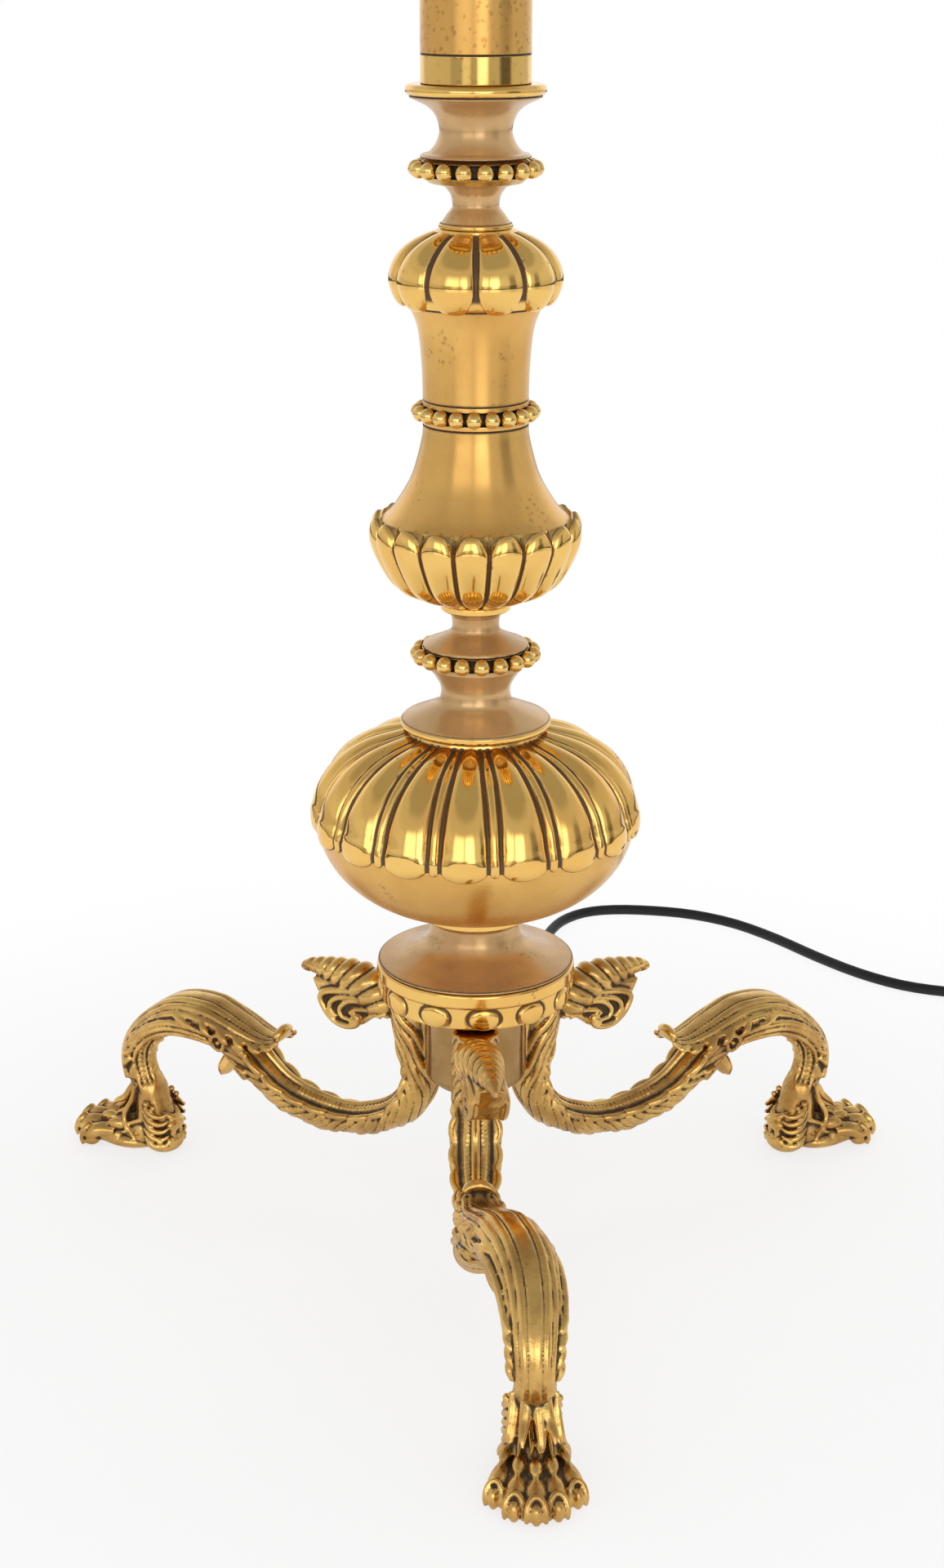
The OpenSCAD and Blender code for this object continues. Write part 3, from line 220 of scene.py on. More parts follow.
def newGroup(name, inputs, outputs):
    group = bpy.data.node_groups.new(name, "ShaderNodeTree")
    for label, kind, value in inputs:
        socket = group.interface.new_socket(label, in_out="INPUT", socket_type=kind)
        socket.default_value = value
    for label, kind in outputs:
        group.interface.new_socket(label, in_out="OUTPUT", socket_type=kind)
    return group, group.nodes.new("NodeGroupInput"), group.nodes.new("NodeGroupOutput")


def objectPlace(tree):
    return addNode(tree, "ShaderNodeTexCoord").outputs["Object"]


def noiseNode(tree, place, scale, detail, output="Fac", **more):
    feeds = {"Vector": place, "Scale": scale, "Detail": detail, **more}
    return addNode(tree, "ShaderNodeTexNoise", feeds).outputs[output]


brassPattern = {  # scales count per metre; the pairs are where a mask starts and ends
    "cloud": (0.36, 0.66), "warpScale": 320.0, "warp": 0.004, "spotScale": 290.0, "spot": (0.04, 0.44),
    "patchScale": 34.0, "patch": (0.60, 0.70), "grainScale": 420.0, "grimeAndShade": (0.12, 0.82),
    "spotColour": (0.22, 0.075, 0.028, 1),
}


def buildAgedBrass():  # colour of brass: mottled, spotted with tarnish, dark where dirt collects and where shade is painted
    group, given, out = newGroup("agedBrass", [
        ("Bright", "NodeSocketColor", (0.9, 0.62, 0.2, 1)), ("Warm", "NodeSocketColor", (0.8, 0.45, 0.14, 1)),
        ("Dark", "NodeSocketColor", (0.03, 0.02, 0.012, 1)), ("DirtAndShade", "NodeSocketFloat", 0.0),
        ("Mottle Scale", "NodeSocketFloat", 18.0), ("Mottle", "NodeSocketFloat", 0.5),
        ("Spots", "NodeSocketFloat", 0.3)],
        [("Color", "NodeSocketColor"), ("GrimeAndShade", "NodeSocketFloat"), ("Cloud", "NodeSocketFloat")])
    p, dirtAndShade = brassPattern, given.outputs["DirtAndShade"]
    place = objectPlace(group)
    cloud = noiseNode(group, place, given.outputs["Mottle Scale"], 5.0, Roughness=0.62)
    cloud = rangeNode(group, cloud, *p["cloud"])
    share = mathNode(group, "MULTIPLY", cloud, given.outputs["Mottle"])
    colour = mixColour(group, share, given.outputs["Bright"], given.outputs["Warm"])
    warp = noiseNode(group, place, p["warpScale"], 3.0, "Color")
    shift = addNode(group, "ShaderNodeVectorMath", {0: warp, "Scale": p["warp"]}, operation="SCALE").outputs[0]
    moved = addNode(group, "ShaderNodeVectorMath", {0: place, 1: shift}, operation="ADD").outputs[0]
    cells = addNode(group, "ShaderNodeTexVoronoi", {"Vector": moved, "Scale": p["spotScale"], "Randomness": 1.0})
    near = rangeNode(group, cells.outputs["Distance"], *p["spot"], 1.0, 0.0)
    patch = rangeNode(group, noiseNode(group, place, p["patchScale"], 2.0), *p["patch"])
    # faint dirt and painted shade, as in a stain, show as spots too
    faint = mathNode(group, "MULTIPLY", rangeNode(group, dirtAndShade, 0.03, 0.15), rangeNode(group, dirtAndShade, 0.25, 0.5, 1.0, 0.0))
    patch = mathNode(group, "MAXIMUM", patch, faint)
    spot = mathNode(group, "MULTIPLY", mathNode(group, "MULTIPLY", near, patch), given.outputs["Spots"], True)
    colour = mixColour(group, spot, colour, p["spotColour"])
    grain = noiseNode(group, place, p["grainScale"], 3.0)
    rough = mathNode(group, "MULTIPLY", mathNode(group, "SUBTRACT", grain, 0.5), 0.5)
    level = mathNode(group, "ADD", dirtAndShade, mathNode(group, "MULTIPLY", rough, dirtAndShade))
    grimeAndShade = rangeNode(group, level, *p["grimeAndShade"])
    colour = mixColour(group, grimeAndShade, colour, given.outputs["Dark"])
    for label, socket in (("Color", colour), ("GrimeAndShade", grimeAndShade), ("Cloud", cloud)):
        group.links.new(socket, out.inputs[label])
    return group


def buildTurnedLines():  # fine rings that the lathe left, in the height and the radius
    group, given, out = newGroup("turnedLines", [("Scale", "NodeSocketFloat", 900.0)], [("Height", "NodeSocketFloat")])
    parts = addNode(group, "ShaderNodeSeparateXYZ", {0: objectPlace(group)})
    flat = addNode(group, "ShaderNodeCombineXYZ", {0: parts.outputs[0], 1: parts.outputs[1]}).outputs[0]
    reach = addNode(group, "ShaderNodeVectorMath", {0: flat}, operation="LENGTH").outputs["Value"]
    run = mathNode(group, "ADD", parts.outputs[2], reach)
    lines = addNode(group, "ShaderNodeTexNoise", {"W": run, "Scale": given.outputs["Scale"], "Detail": 2.0},
                    noise_dimensions="1D").outputs["Fac"]
    group.links.new(lines, out.inputs["Height"])
    return group


def buildCastGrain():  # the faint lumps and pits of a cast surface
    group, given, out = newGroup("castGrain", [("Scale", "NodeSocketFloat", 300.0)], [("Height", "NodeSocketFloat")])
    lumps = noiseNode(group, objectPlace(group), given.outputs["Scale"], 4.0, Roughness=0.55)
    group.links.new(lumps, out.inputs["Height"])
    return group


agedBrass = buildAgedBrass()
turnedLines = buildTurnedLines()
castGrain = buildCastGrain()


def newMaterial(name, colour, metallic, roughness):
    material = bpy.data.materials.new(name)
    material.use_nodes = True
    shader = material.node_tree.nodes["Principled BSDF"]
    shader.inputs["Base Color"].default_value = (*colour, 1)
    shader.inputs["Metallic"].default_value = metallic
    shader.inputs["Roughness"].default_value = roughness
    material.diffuse_color = (*colour, 1)
    return material, material.node_tree, shader


def addBump(tree, shader, height, distance, strength=1.0):
    bump = addNode(tree, "ShaderNodeBump", {"Height": height, "Distance": distance, "Strength": strength})
    tree.links.new(bump.outputs["Normal"], shader.inputs["Normal"])


grimeAndShadeLook = {"rough": 0.34, "metal": 0.3}  # how much rougher dirt and painted shade are, and how metallic they still are


def brassMaterial(name, look):
    material, tree, shader = newMaterial(name, look["bright"], 1.0, look["rough"])
    dirtAndShade = addNode(tree, "ShaderNodeAttribute", attribute_name=dirtAndShadeName, attribute_type="GEOMETRY").outputs["Fac"]
    aged = addNode(tree, "ShaderNodeGroup", node_tree=agedBrass)
    for label, key in (("Bright", "bright"), ("Warm", "warm"), ("Dark", "dark")):
        aged.inputs[label].default_value = (*look[key], 1)
    for label, key in (("Mottle Scale", "mottleScale"), ("Mottle", "mottle"), ("Spots", "spots")):
        aged.inputs[label].default_value = look[key]
    tree.links.new(dirtAndShade, aged.inputs["DirtAndShade"])
    tree.links.new(aged.outputs["Color"], shader.inputs["Base Color"])
    grimeAndShade, cloud = aged.outputs["GrimeAndShade"], aged.outputs["Cloud"]
    rough = mathNode(tree, "ADD", mathNode(tree, "MULTIPLY", cloud, look["roughSpread"]), look["rough"])
    rough = mathNode(tree, "ADD", rough, mathNode(tree, "MULTIPLY", grimeAndShade, grimeAndShadeLook["rough"]))
    tree.links.new(rough, shader.inputs["Roughness"])
    lost = mathNode(tree, "MULTIPLY", grimeAndShade, look["metal"] - grimeAndShadeLook["metal"])
    tree.links.new(mathNode(tree, "SUBTRACT", look["metal"], lost), shader.inputs["Metallic"])
    if "drawn" in look:  # the lathe's fine grooves blur a mirrored light along the axis only
        shader.inputs["Anisotropic"].default_value = look["drawn"]
        shader.inputs["Anisotropic Rotation"].default_value = 0.25
        tangent = addNode(tree, "ShaderNodeTangent", direction_type="RADIAL", axis="Z")
        tree.links.new(tangent.outputs[0], shader.inputs["Tangent"])
    kind, scale, depth = look["bump"]
    lines = addNode(tree, "ShaderNodeGroup", {"Scale": scale},
                    node_tree={"lathe": turnedLines, "cast": castGrain}[kind])
    addBump(tree, shader, lines.outputs["Height"], depth)
    return material


brassLooks = {
    "polished_brass": {"bright": (0.92, 0.59, 0.17), "warm": (0.86, 0.465, 0.12), "dark": (0.115, 0.066, 0.032),
                       "mottleScale": 22.0, "mottle": 0.55, "spots": 0.75, "rough": 0.085, "roughSpread": 0.06,
                       "metal": 1.0, "bump": ("cast", 130.0, 0.00001)},
    "satin_brass": {"bright": (0.83, 0.49, 0.140), "warm": (0.76, 0.41, 0.110), "dark": (0.06, 0.034, 0.02),
                    "mottleScale": 26.0, "mottle": 0.7, "spots": 0.5, "rough": 0.25, "roughSpread": 0.07,
                    "metal": 0.95, "drawn": 0.85, "bump": ("lathe", 1500.0, 0.00001)},
    "dull_brass": {"bright": (0.70, 0.45, 0.205), "warm": (0.57, 0.345, 0.145), "dark": (0.06, 0.034, 0.02),
                   "mottleScale": 26.0, "mottle": 0.8, "spots": 0.4, "rough": 0.22, "roughSpread": 0.08,
                   "metal": 0.58, "drawn": 0.5, "bump": ("lathe", 1500.0, 0.00001)},
    "bead_brass": {"bright": (0.88, 0.60, 0.20), "warm": (0.76, 0.44, 0.13), "dark": (0.040, 0.026, 0.017),
                   "mottleScale": 60.0, "mottle": 0.6, "spots": 0.4, "rough": 0.13, "roughSpread": 0.08,
                   "metal": 1.0, "bump": ("cast", 400.0, 0.00004)},
    "cast_leg_brass": {"bright": (0.84, 0.53, 0.165), "warm": (0.50, 0.27, 0.08), "dark": (0.055, 0.032, 0.015),
                       "mottleScale": 40.0, "mottle": 0.85, "spots": 0.4, "rough": 0.14, "roughSpread": 0.14,
                       "metal": 1.0, "bump": ("cast", 520.0, 0.00010)},
    "dark_brass": {"bright": (0.45, 0.28, 0.11), "warm": (0.34, 0.19, 0.065), "dark": (0.04, 0.024, 0.014),
                   "mottleScale": 30.0, "mottle": 0.9, "spots": 0.6, "rough": 0.10, "roughSpread": 0.10,
                   "metal": 1.0, "bump": ("lathe", 900.0, 0.00002)},
    "holder_brass": {"bright": (0.89, 0.64, 0.24), "warm": (0.80, 0.52, 0.18), "dark": (0.05, 0.03, 0.02),
                     "mottleScale": 20.0, "mottle": 0.4, "spots": 0.2, "rough": 0.14, "roughSpread": 0.05,
                     "metal": 1.0, "bump": ("lathe", 1300.0, 0.00001)},
}
mats = {slot: brassMaterial(slot, look) for slot, look in brassLooks.items()}


def plainMaterial(name, look):  # plastics, rubber, porcelain and zinc: one colour, clouded, with a fine grain
    material, tree, shader = newMaterial(name, look["colour"], look.get("metallic", 0.0), look["rough"])
    cloud = noiseNode(tree, objectPlace(tree), look["cloudScale"], 4.0)
    tree.links.new(mixColour(tree, cloud, (*look["colour"], 1), (*look["second"], 1)), shader.inputs["Base Color"])
    spread = look["roughSpread"]
    rough = mathNode(tree, "ADD", mathNode(tree, "MULTIPLY", cloud, spread), look["rough"] - spread / 2)
    tree.links.new(rough, shader.inputs["Roughness"])
    grain = addNode(tree, "ShaderNodeGroup", {"Scale": look["grain"]}, node_tree=castGrain)
    addBump(tree, shader, grain.outputs["Height"], look["depth"])
    shader.inputs["Specular IOR Level"].default_value = look.get("specular", 0.5)
    shader.inputs["Coat Weight"].default_value = look.get("coat", 0.0)
    return material


plainLooks = {
    "flex_sheath": {"colour": (0.007, 0.007, 0.008), "second": (0.012, 0.012, 0.012), "rough": 0.45,
                    "roughSpread": 0.12, "cloudScale": 60.0, "grain": 1400.0, "depth": 0.00003, "specular": 0.32},
    "black_rubber": {"colour": (0.016, 0.016, 0.017), "second": (0.028, 0.027, 0.027), "rough": 0.6,
                     "roughSpread": 0.15, "cloudScale": 90.0, "grain": 1800.0, "depth": 0.00005},
    "black_plastic": {"colour": (0.015, 0.015, 0.016), "second": (0.022, 0.021, 0.021), "rough": 0.3,
                      "roughSpread": 0.1, "cloudScale": 40.0, "grain": 2200.0, "depth": 0.00002},
    "porcelain": {"colour": (0.80, 0.77, 0.70), "second": (0.86, 0.84, 0.78), "rough": 0.16, "roughSpread": 0.06,
                  "cloudScale": 70.0, "grain": 500.0, "depth": 0.00002, "coat": 0.5},
    "zinc_steel": {"colour": (0.50, 0.50, 0.49), "second": (0.62, 0.61, 0.58), "rough": 0.34, "roughSpread": 0.14,
                   "cloudScale": 160.0, "grain": 900.0, "depth": 0.00003, "metallic": 1.0},
}
for slot, look in plainLooks.items():
    mats[slot] = plainMaterial(slot, look)
print("materials built:", len(mats))


# flex: the free stretch and its coil, one cord
flexRoute = {
    "diameter": 6.8, "bushEnd": (0, 52.9, 108),
    "run": [(0, 66, 107), (0, 84, 102), (0, 104, 91), (1, 124, 75), (2, 142, 57), (3, 158, 39), (5, 176, 22),
            (8, 198, 10), (12, 226, 4.6), (18, 262, 3.4), (26, 302, 3.4), (35, 344, 3.4), (43, 382, 3.4),
            (50, 412, 3.4),
            (60, 436, 3.4), (76, 452, 3.4), (97, 458, 3.4), (125, 456, 3.4), (153, 448, 3.4), (180, 431, 3.4),
            (205, 404, 3.4), (228, 373, 3.4), (252, 345, 3.4), (277, 325, 3.4), (303, 314, 3.6)],
    "coilCentre": (364, 340), "startTurn": 233, "innerRadius": 28.5, "pitch": 7.5, "turns": 2.25, "dip": 1.2,
    "lowZ": 4.6, "layerStep": 7.4, "step": 15, "fineStep": 7.5, "plugWidth": 50,
}
coilOuter = flexRoute["innerRadius"] + flexRoute["pitch"] * flexRoute["turns"]


def coilPoint(angle):  # the coil winds inwards on the floor, turns over and winds outwards on top
    f = flexRoute
    spiral = f["turns"] * 360
    if angle < spiral:
        radius = coilOuter - f["pitch"] * angle / 360
    elif angle < spiral + 180:
        radius = f["innerRadius"] - f["dip"] * math.sin(math.radians(angle - spiral))
    else:
        radius = f["innerRadius"] + f["pitch"] * (angle - spiral - 180) / 360
    height = f["lowZ"] + f["layerStep"] * float(smoothStep(0, 180, angle - spiral))
    turn = math.radians(f["startTurn"] + angle)
    return np.array([f["coilCentre"][0] + radius * math.cos(turn), f["coilCentre"][1] + radius * math.sin(turn),
                     height])


def flexPath():
    f = flexRoute
    d = f["diameter"]
    span = f["turns"] * 720 + 180
    coil = [coilPoint(a) for a in np.arange(0, span + 0.1, f["step"])]
    inWay = (coil[1] - coil[0]) / np.linalg.norm(coil[1] - coil[0])
    outWay = (coil[-1] - coil[-2]) / np.linalg.norm(coil[-1] - coil[-2])
    entry = coil[0] - d * inWay
    lead = entry - d * inWay
    tail = 2 + math.sqrt((coilOuter + d / 2) ** 2 - (coilOuter - f["plugWidth"] / 2) ** 2)
    exitPoint = coil[-1] + tail * outWay
    start = np.array(f["bushEnd"], float)
    free = curvePoints([start + (0, d, 0)] + f["run"] + [tuple(lead)], 3)
    fine = [tuple(coilPoint(a)) for a in np.arange(0, span + 0.1, f["fineStep"])]
    return [tuple(start)] + free + [tuple(entry)] + fine + [tuple(exitPoint)], exitPoint, outWay


flexPoints, plugPlace, plugWay = flexPath()
flexCurve = bpy.data.curves.new("mainsFlex", "CURVE")
flexCurve.dimensions = "3D"
flexCurve.bevel_depth = flexRoute["diameter"] / 2 * mm
flexCurve.bevel_resolution = 7
flexCurve.use_fill_caps = True
spline = flexCurve.splines.new("POLY")
spline.points.add(len(flexPoints) - 1)
spline.points.foreach_set("co", [v for p in flexPoints for v in (p[0] * mm, p[1] * mm, p[2] * mm, 1)])
spline.use_smooth = True
flexCurve.materials.append(mats["flex_sheath"])
mainsFlex = makeObject("mainsFlex", flexCurve)
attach(mainsFlex, carrier)
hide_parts("cord_run", "cord_coil")


# turned pieces
def softened(loop, radius):  # a closed outline with its sharp corners rounded and held by near points
    n = len(loop)
    out = []
    for i in range(n):
        p, a, b = (np.array(loop[k % n], float) for k in (i, i - 1, i + 1))
        u, v = a - p, b - p
        lu, lv = np.linalg.norm(u), np.linalg.norm(v)
        u, v = u / lu, v / lv
        bend = math.degrees(math.acos(max(-1, min(1, -float(u @ v)))))
        if bend < 28:
            out.append(tuple(p))
            continue
        cut = min(radius, lu * 0.42, lv * 0.42)
        for k in range(6):
            t = k / 5
            out.append(tuple((p + u * cut) * (1 - t) ** 2 + 2 * p * t * (1 - t) + (p + v * cut) * t ** 2))
    held = []
    for i, p in enumerate(out):
        q = out[(i + 1) % len(out)]
        gap = math.dist(p, q)
        held.append(p)
        if gap > 1.6:
            for t in (0.25 / gap, 1 - 0.25 / gap):
                held.append((p[0] + (q[0] - p[0]) * t, p[1] + (q[1] - p[1]) * t))
    return held


def closedMesh(name, verts, faces, dirtAndShade):
    mesh = meshFrom(name, verts, faces, dirtAndShade)
    work = bmesh.new()
    work.from_mesh(mesh)
    bmesh.ops.remove_doubles(work, verts=work.verts, dist=1e-7)
    bmesh.ops.dissolve_degenerate(work, edges=work.edges, dist=1e-8)
    work.to_mesh(mesh)
    work.free()
    finishMesh(mesh)
    return mesh


def revolve(name, loop, dirtAndShade, segments, axis=None):
    loop = np.array(loop, float)
    angles = circleAngles(segments)
    grid = np.empty((len(loop), segments, 3))
    grid[..., 0] = loop[:, :1] * np.cos(angles)
    grid[..., 1] = loop[:, :1] * np.sin(angles)
    grid[..., 2] = loop[:, 1:2]
    verts = grid.reshape(-1, 3)
    if axis:
        verts = axis(verts)
    return closedMesh(name, verts, gridFaces(len(loop), segments, True, True), np.repeat(dirtAndShade, segments))


def revolvedPiece(name, node, loop, slot, marks=(), radius=0.5, segments=128, look=None, body=carrier, axis=None):
    # marks are the places where dirt collects, as radius, height, reach and strength
    shape = softened(loop, radius)
    dirtAndShade = [max([0.0] + [m[3] * math.exp(-(math.dist(p, m[:2]) / m[2]) ** 2) for m in marks]) for p in shape]
    return addPiece(name, revolve(name, shape, dirtAndShade, segments, axis), slot, node, look, body)


rodHole = 6.5  # radius of the hole for the tie rod
jointDirt = (0.62, 0.95)  # reach and strength of the dirt in the seams between two pieces


def turnedPiece(name, node, outline, slot="satin_brass", look=None, bore=rodHole, radius=0.45, joints=True, marks=()):
    loop = [(bore, outline[0][1])] + outline + [(bore, outline[-1][1])]
    seams = [(*outline[0], *jointDirt), (*outline[-1], *jointDirt)] if joints else []
    return revolvedPiece(name, node, loop, slot, seams + list(marks), radius, look=look)


def brightRim(obj, reach, low, high):  # a polished edge on a duller piece
    obj.data.materials.append(mats["polished_brass"])
    for poly in obj.data.polygons:
        x, y, level = poly.center / mm
        poly.material_index = int(math.hypot(x, y) > reach and low < level < high)


# where each piece begins above the floor
heights = {"drum": 139, "trumpet": 158, "footRing": 181.4, "bowl": 188, "dome": 236, "spool": 282.3, "lowRing": 315.5,
           "stem": 322.5, "cupRing": 341, "cup": 345, "lowSleeve": 380, "midRing": 432, "upSleeve": 443, "cap": 487.9,
           "capSpool": 522.4, "upRing": 543, "waist": 554.4, "flange": 582, "ferrule": 587, "tube": 600,
           "topFerrule": 1250, "topFlange": 1263, "topSpool": 1268, "drip": 1295.6, "holder": 1314.1}

trumpetSize = {"radius": 49.5, "neck": 22.5, "height": 23.4}


def trumpet():
    z = heights["trumpet"]
    r, n, h = trumpetSize.values()
    flare = curvePoints([(r - 0.4, z + 1.6), (r - 9, z + 3.2), (n + 12, z + 5.6), (n + 5, z + 9.2), (n + 1.4, z + 14),
                         (n + 0.2, z + 19), (n, z + h * 0.92)], 7)
    turnedPiece("trumpet", "trumpet", [(r - 0.8, z), (r, z + 0.8)] + flare + [(n + 1, z + h)], look="dull_brass",
                marks=[(r - 0.4, z + 1.7, 0.7, 0.7)])


footRingSize = {"radius": 27.3, "seat": 23.9}


def ballFootRing():
    z = heights["footRing"]
    r, seat = footRingSize.values()
    outline = [(seat, z), (seat, z + 0.7), (r - 0.5, z + 1.1), (r, z + 1.6), (r, z + 5.3), (r - 0.6, z + 5.9),
               (r - 5, heights["bowl"])]
    turnedPiece("ballFootRing", "ball_foot_ring", outline, "polished_brass", marks=[(seat, z + 0.4, 0.9, 1.0)])


bowlSize = {"radius": 79.2, "foot": 20, "height": 48, "wall": 3}


def ballBowl():
    z, seam = heights["bowl"], heights["dome"]
    r, foot, h, wall = bowlSize.values()
    outer = arcPoints((foot, seam), r - foot, h, -90, 0, 34)
    inner = arcPoints((foot, seam), r - wall - foot, h - wall, 0, -90, 20)
    revolvedPiece("ballBowl", "ball_bowl", [(rodHole, z)] + outer + inner + [(rodHole, z + wall)], "satin_brass",
                  [(foot + 6.3, z, 1.5, 0.8)], segments=168)


spoolSize = {"flange": 37, "waist": 17, "head": 24, "spigot": 19.85}


def ballSpool():
    z, top = heights["spool"], heights["lowRing"]
    f, w, h, spigot = spoolSize.values()
    flange = [(spigot, z - 4.5), (spigot, z), (f - 1.2, z), (f, z + 1.2), (f, z + 3.2), (f - 0.8, z + 4)]
    waist = curvePoints([(f - 1.2, z + 4.4), (w + 9, z + 8.6), (w + 2, z + 12), (w, z + 17), (w + 0.8, z + 22),
                         (h - 3, z + 27.4)], 8)
    spool = turnedPiece("ballSpool", "ball_spool", flange + waist + [(h, top - 2.6), (h, top)], look="dull_brass",
                        marks=[(f - 0.4, z + 0.3, 0.7, 0.9), (f - 0.9, z + 4.1, 0.35, 0.75)])
    brightRim(spool, f - 0.8, z + 0.3, z + 3.5)


stemSize = {"disc": 25.7, "neck": 11.4, "height": 18.5}


def cupStem():
    z = heights["stem"]
    d, n, h = stemSize.values()
    neck = curvePoints([(d - 0.6, z + 1.8), (n + 7, z + h * 0.25), (n + 1.2, z + h * 0.42), (n, z + h * 0.62),
                        (n + 0.6, z + h * 0.84)], 8)
    turnedPiece("cupStem", "cup_stem", [(d, z), (d, z + 1.4)] + neck + [(n + 2.6, heights["cupRing"])],
                look="dull_brass")


cupRingSize = {"radius": 17, "height": 4}


def cupFootRing():
    z = heights["cupRing"]
    r, h = cupRingSize.values()
    outline = [(r - 0.7, z), (r, z + 0.6), (r, z + h - 0.7), (r - 0.7, z + h - 0.2), (r - 1.2, heights["cup"])]
    turnedPiece("cupFootRing", "cup_foot_ring", outline, "polished_brass")


# shape: height above the sleeve's foot, and how far the side has spread there, from 0 at the waist to 1 at the wide end
# stains: turn to the right of the front, height, half width in degrees and half height
sleeves = {
    "lowerSleeve": {"node": "lower_sleeve", "base": "lowSleeve", "wide": 46.3, "waist": 25.1,
                    "shape": [(0, 1), (5, 0.985), (10.5, 0.73), (18.5, 0.475), (27, 0.26), (37, 0.115), (46, 0.02),
                              (52, 0)],
                    "marks": [(46.3, 3.5, 3.4, 0.75), (25.1, 51.7, 0.8, 0.9)],
                    "stains": [(45, 395, 16, 9), (-60, 402, 14, 7)]},
    "upperSleeve": {"node": "upper_sleeve", "base": "upSleeve", "wide": 32, "waist": 25.1,
                    "shape": [(0, 0), (12, 0.03), (22, 0.12), (30, 0.24), (36, 0.42), (41, 0.7), (44.9, 1)],
                    "marks": [(25.1, 0.2, 0.8, 0.9), (32, 44.7, 0.8, 0.9)],
                    "stains": [(30, 462, 14, 11), (-40, 476, 12, 6)]},
}
sleeveWall = 3
stainStrength = 0.17


def sleevePiece(name, size):
    z, waist = heights[size["base"]], size["waist"]
    outline = curvePoints([(waist + share * (size["wide"] - waist), z + level) for level, share in size["shape"]], 8)
    inner = [(p[0] - sleeveWall, p[1]) for p in outline[:4:-1]]
    floor = z + sleeveWall
    loop = [(rodHole, z)] + outline + inner + [(inner[-1][0], floor), (rodHole, floor)]
    marks = [(r, z + level, reach, strength) for r, level, reach, strength in size["marks"]]
    mesh = revolvedPiece(name, size["node"], loop, "satin_brass", marks, segments=152).data
    place = meshPlaces(mesh) / mm
    level = np.empty(len(place))
    mesh.attributes[dirtAndShadeName].data.foreach_get("value", level)
    turn = np.degrees(np.arctan2(place[:, 0], -place[:, 1]))
    for side, height, wide, tall in size["stains"]:
        level = np.maximum(level, stainStrength * bell(turn - side, wide) * bell(place[:, 2] - height, tall))
    mesh.attributes[dirtAndShadeName].data.foreach_set("value", level.tolist())


capSpoolSize = {"lip": 17.3, "neck": 10.9}


def capSpool():
    z = heights["capSpool"]
    r, n = capSpoolSize.values()
    lip = [(r - 0.6, z), (r, z + 0.8), (r, z + 2), (r - 0.8, z + 2.6)]
    neck = curvePoints([(r - 1.4, z + 3), (n + 2.6, z + 6.4), (n + 0.2, z + 9.6), (n, z + 12), (n + 1, z + 15.6),
                        (n + 3.6, z + 19)], 8)
    spool = turnedPiece("capSpool", "cap_spool", lip + neck + [(n + 9, heights["upRing"])], look="dull_brass",
                        marks=[(r - 0.9, z + 2.75, 0.4, 0.95)])
    brightRim(spool, r - 0.6, z + 0.2, z + 2.2)


waistSize = {"small": 25.7, "waist": 16.8, "big": 30.5, "height": 27.6}


def waistedSpools():  # the one below the tube, and the same one turned over at the tube's top
    s, w, b, h = waistSize.values()
    waist = curvePoints([(s - 1.2, h * 0.06), (w + 4.6, h * 0.1), (w + 1.4, h * 0.25), (w, h * 0.45),
                         (w + 1.7, h * 0.67), (w + 5.6, h * 0.82), (b - 2, h * 0.93)], 8)
    outline = [(s, 0), (s, h * 0.03)] + waist + [(b, h * 0.96), (b, h)]
    turnedPiece("waistedSpool", "waisted_spool", [(r, heights["waist"] + z) for r, z in outline], look="dull_brass")
    turnedPiece("topSpool", "top_spool", [(r, heights["drip"] - z) for r, z in reversed(outline)], look="dull_brass")


flangeSize = {"radius": 32.5, "height": 5}


def columnFlanges():
    r, h = flangeSize.values()
    for name, node, z in (("columnFlange", "column_flange", heights["flange"]),
                          ("topFlange", "top_flange", heights["topFlange"])):
        rim = arcPoints((r - h / 2, z + h / 2), h / 2, h / 2, -75, 75, 12)
        turnedPiece(name, node, [(r - 2, z)] + rim + [(r - 2, z + h)], "polished_brass", joints=False,
                    marks=[(r - 1.7, z + 0.1, 0.8, 1.0)])


tubeSize = {"radius": 25.4, "wall": 1.5, "gap": 0.15, "ferrule": 13, "spigot": 16}


def tubeAndFerrules():
    r, wall, gap, tall, spigot = tubeSize.values()
    inside, foot, head = r - wall - gap, heights["tube"], heights["topFerrule"]

    def cuff(z):
        return [(r - 0.4, z), (r, z + 0.4), (r, z + tall - 0.4), (r - 0.4, z + tall)]

    def cuffMarks(z, low, high):
        return [(r - 0.2, z, 0.55, low), (r - 0.2, z + tall, 0.55, high)]

    z = heights["ferrule"]
    turnedPiece("bottomFerrule", "bottom_ferrule", cuff(z) + [(inside, z + tall), (inside, foot + spigot)],
                "polished_brass", radius=0.3, marks=cuffMarks(z, 0.8, 1.0))
    turnedPiece("topFerrule", "top_ferrule", [(inside, head - spigot), (inside, head)] + cuff(head), "polished_brass",
                radius=0.3, marks=cuffMarks(head, 1.0, 0.8))
    outline = [(r - 0.35, foot), (r, foot + 0.5), (r, head - 0.5), (r - 0.35, head)]
    turnedPiece("columnTube", "column_tube", outline, bore=r - wall, radius=0.2,
                marks=[(r - 0.2, foot + 0.2, 0.55, 1.0), (r - 0.2, head - 0.2, 0.55, 1.0)])


dripSize = {"radius": 36, "height": 11, "rim": 2, "recess": 3.5, "foot": 24.7}


def dripDish():
    z = heights["drip"]
    r, h, rim, recess, foot = dripSize.values()
    outer = curvePoints([(foot, z), (r - 5, z + h * 0.4), (r - 1.4, z + h * 0.75), (r, z + h)], 8)
    corner = (r - rim - recess, z + h - recess)
    revolvedPiece("dripDish", "drip_dish", [(rodHole, z)] + outer + [(r - rim, z + h), corner, (rodHole, corner[1])],
                  "satin_brass", [(*corner, 1.2, 0.7), (foot, z, 0.8, 0.9)], 0.7)


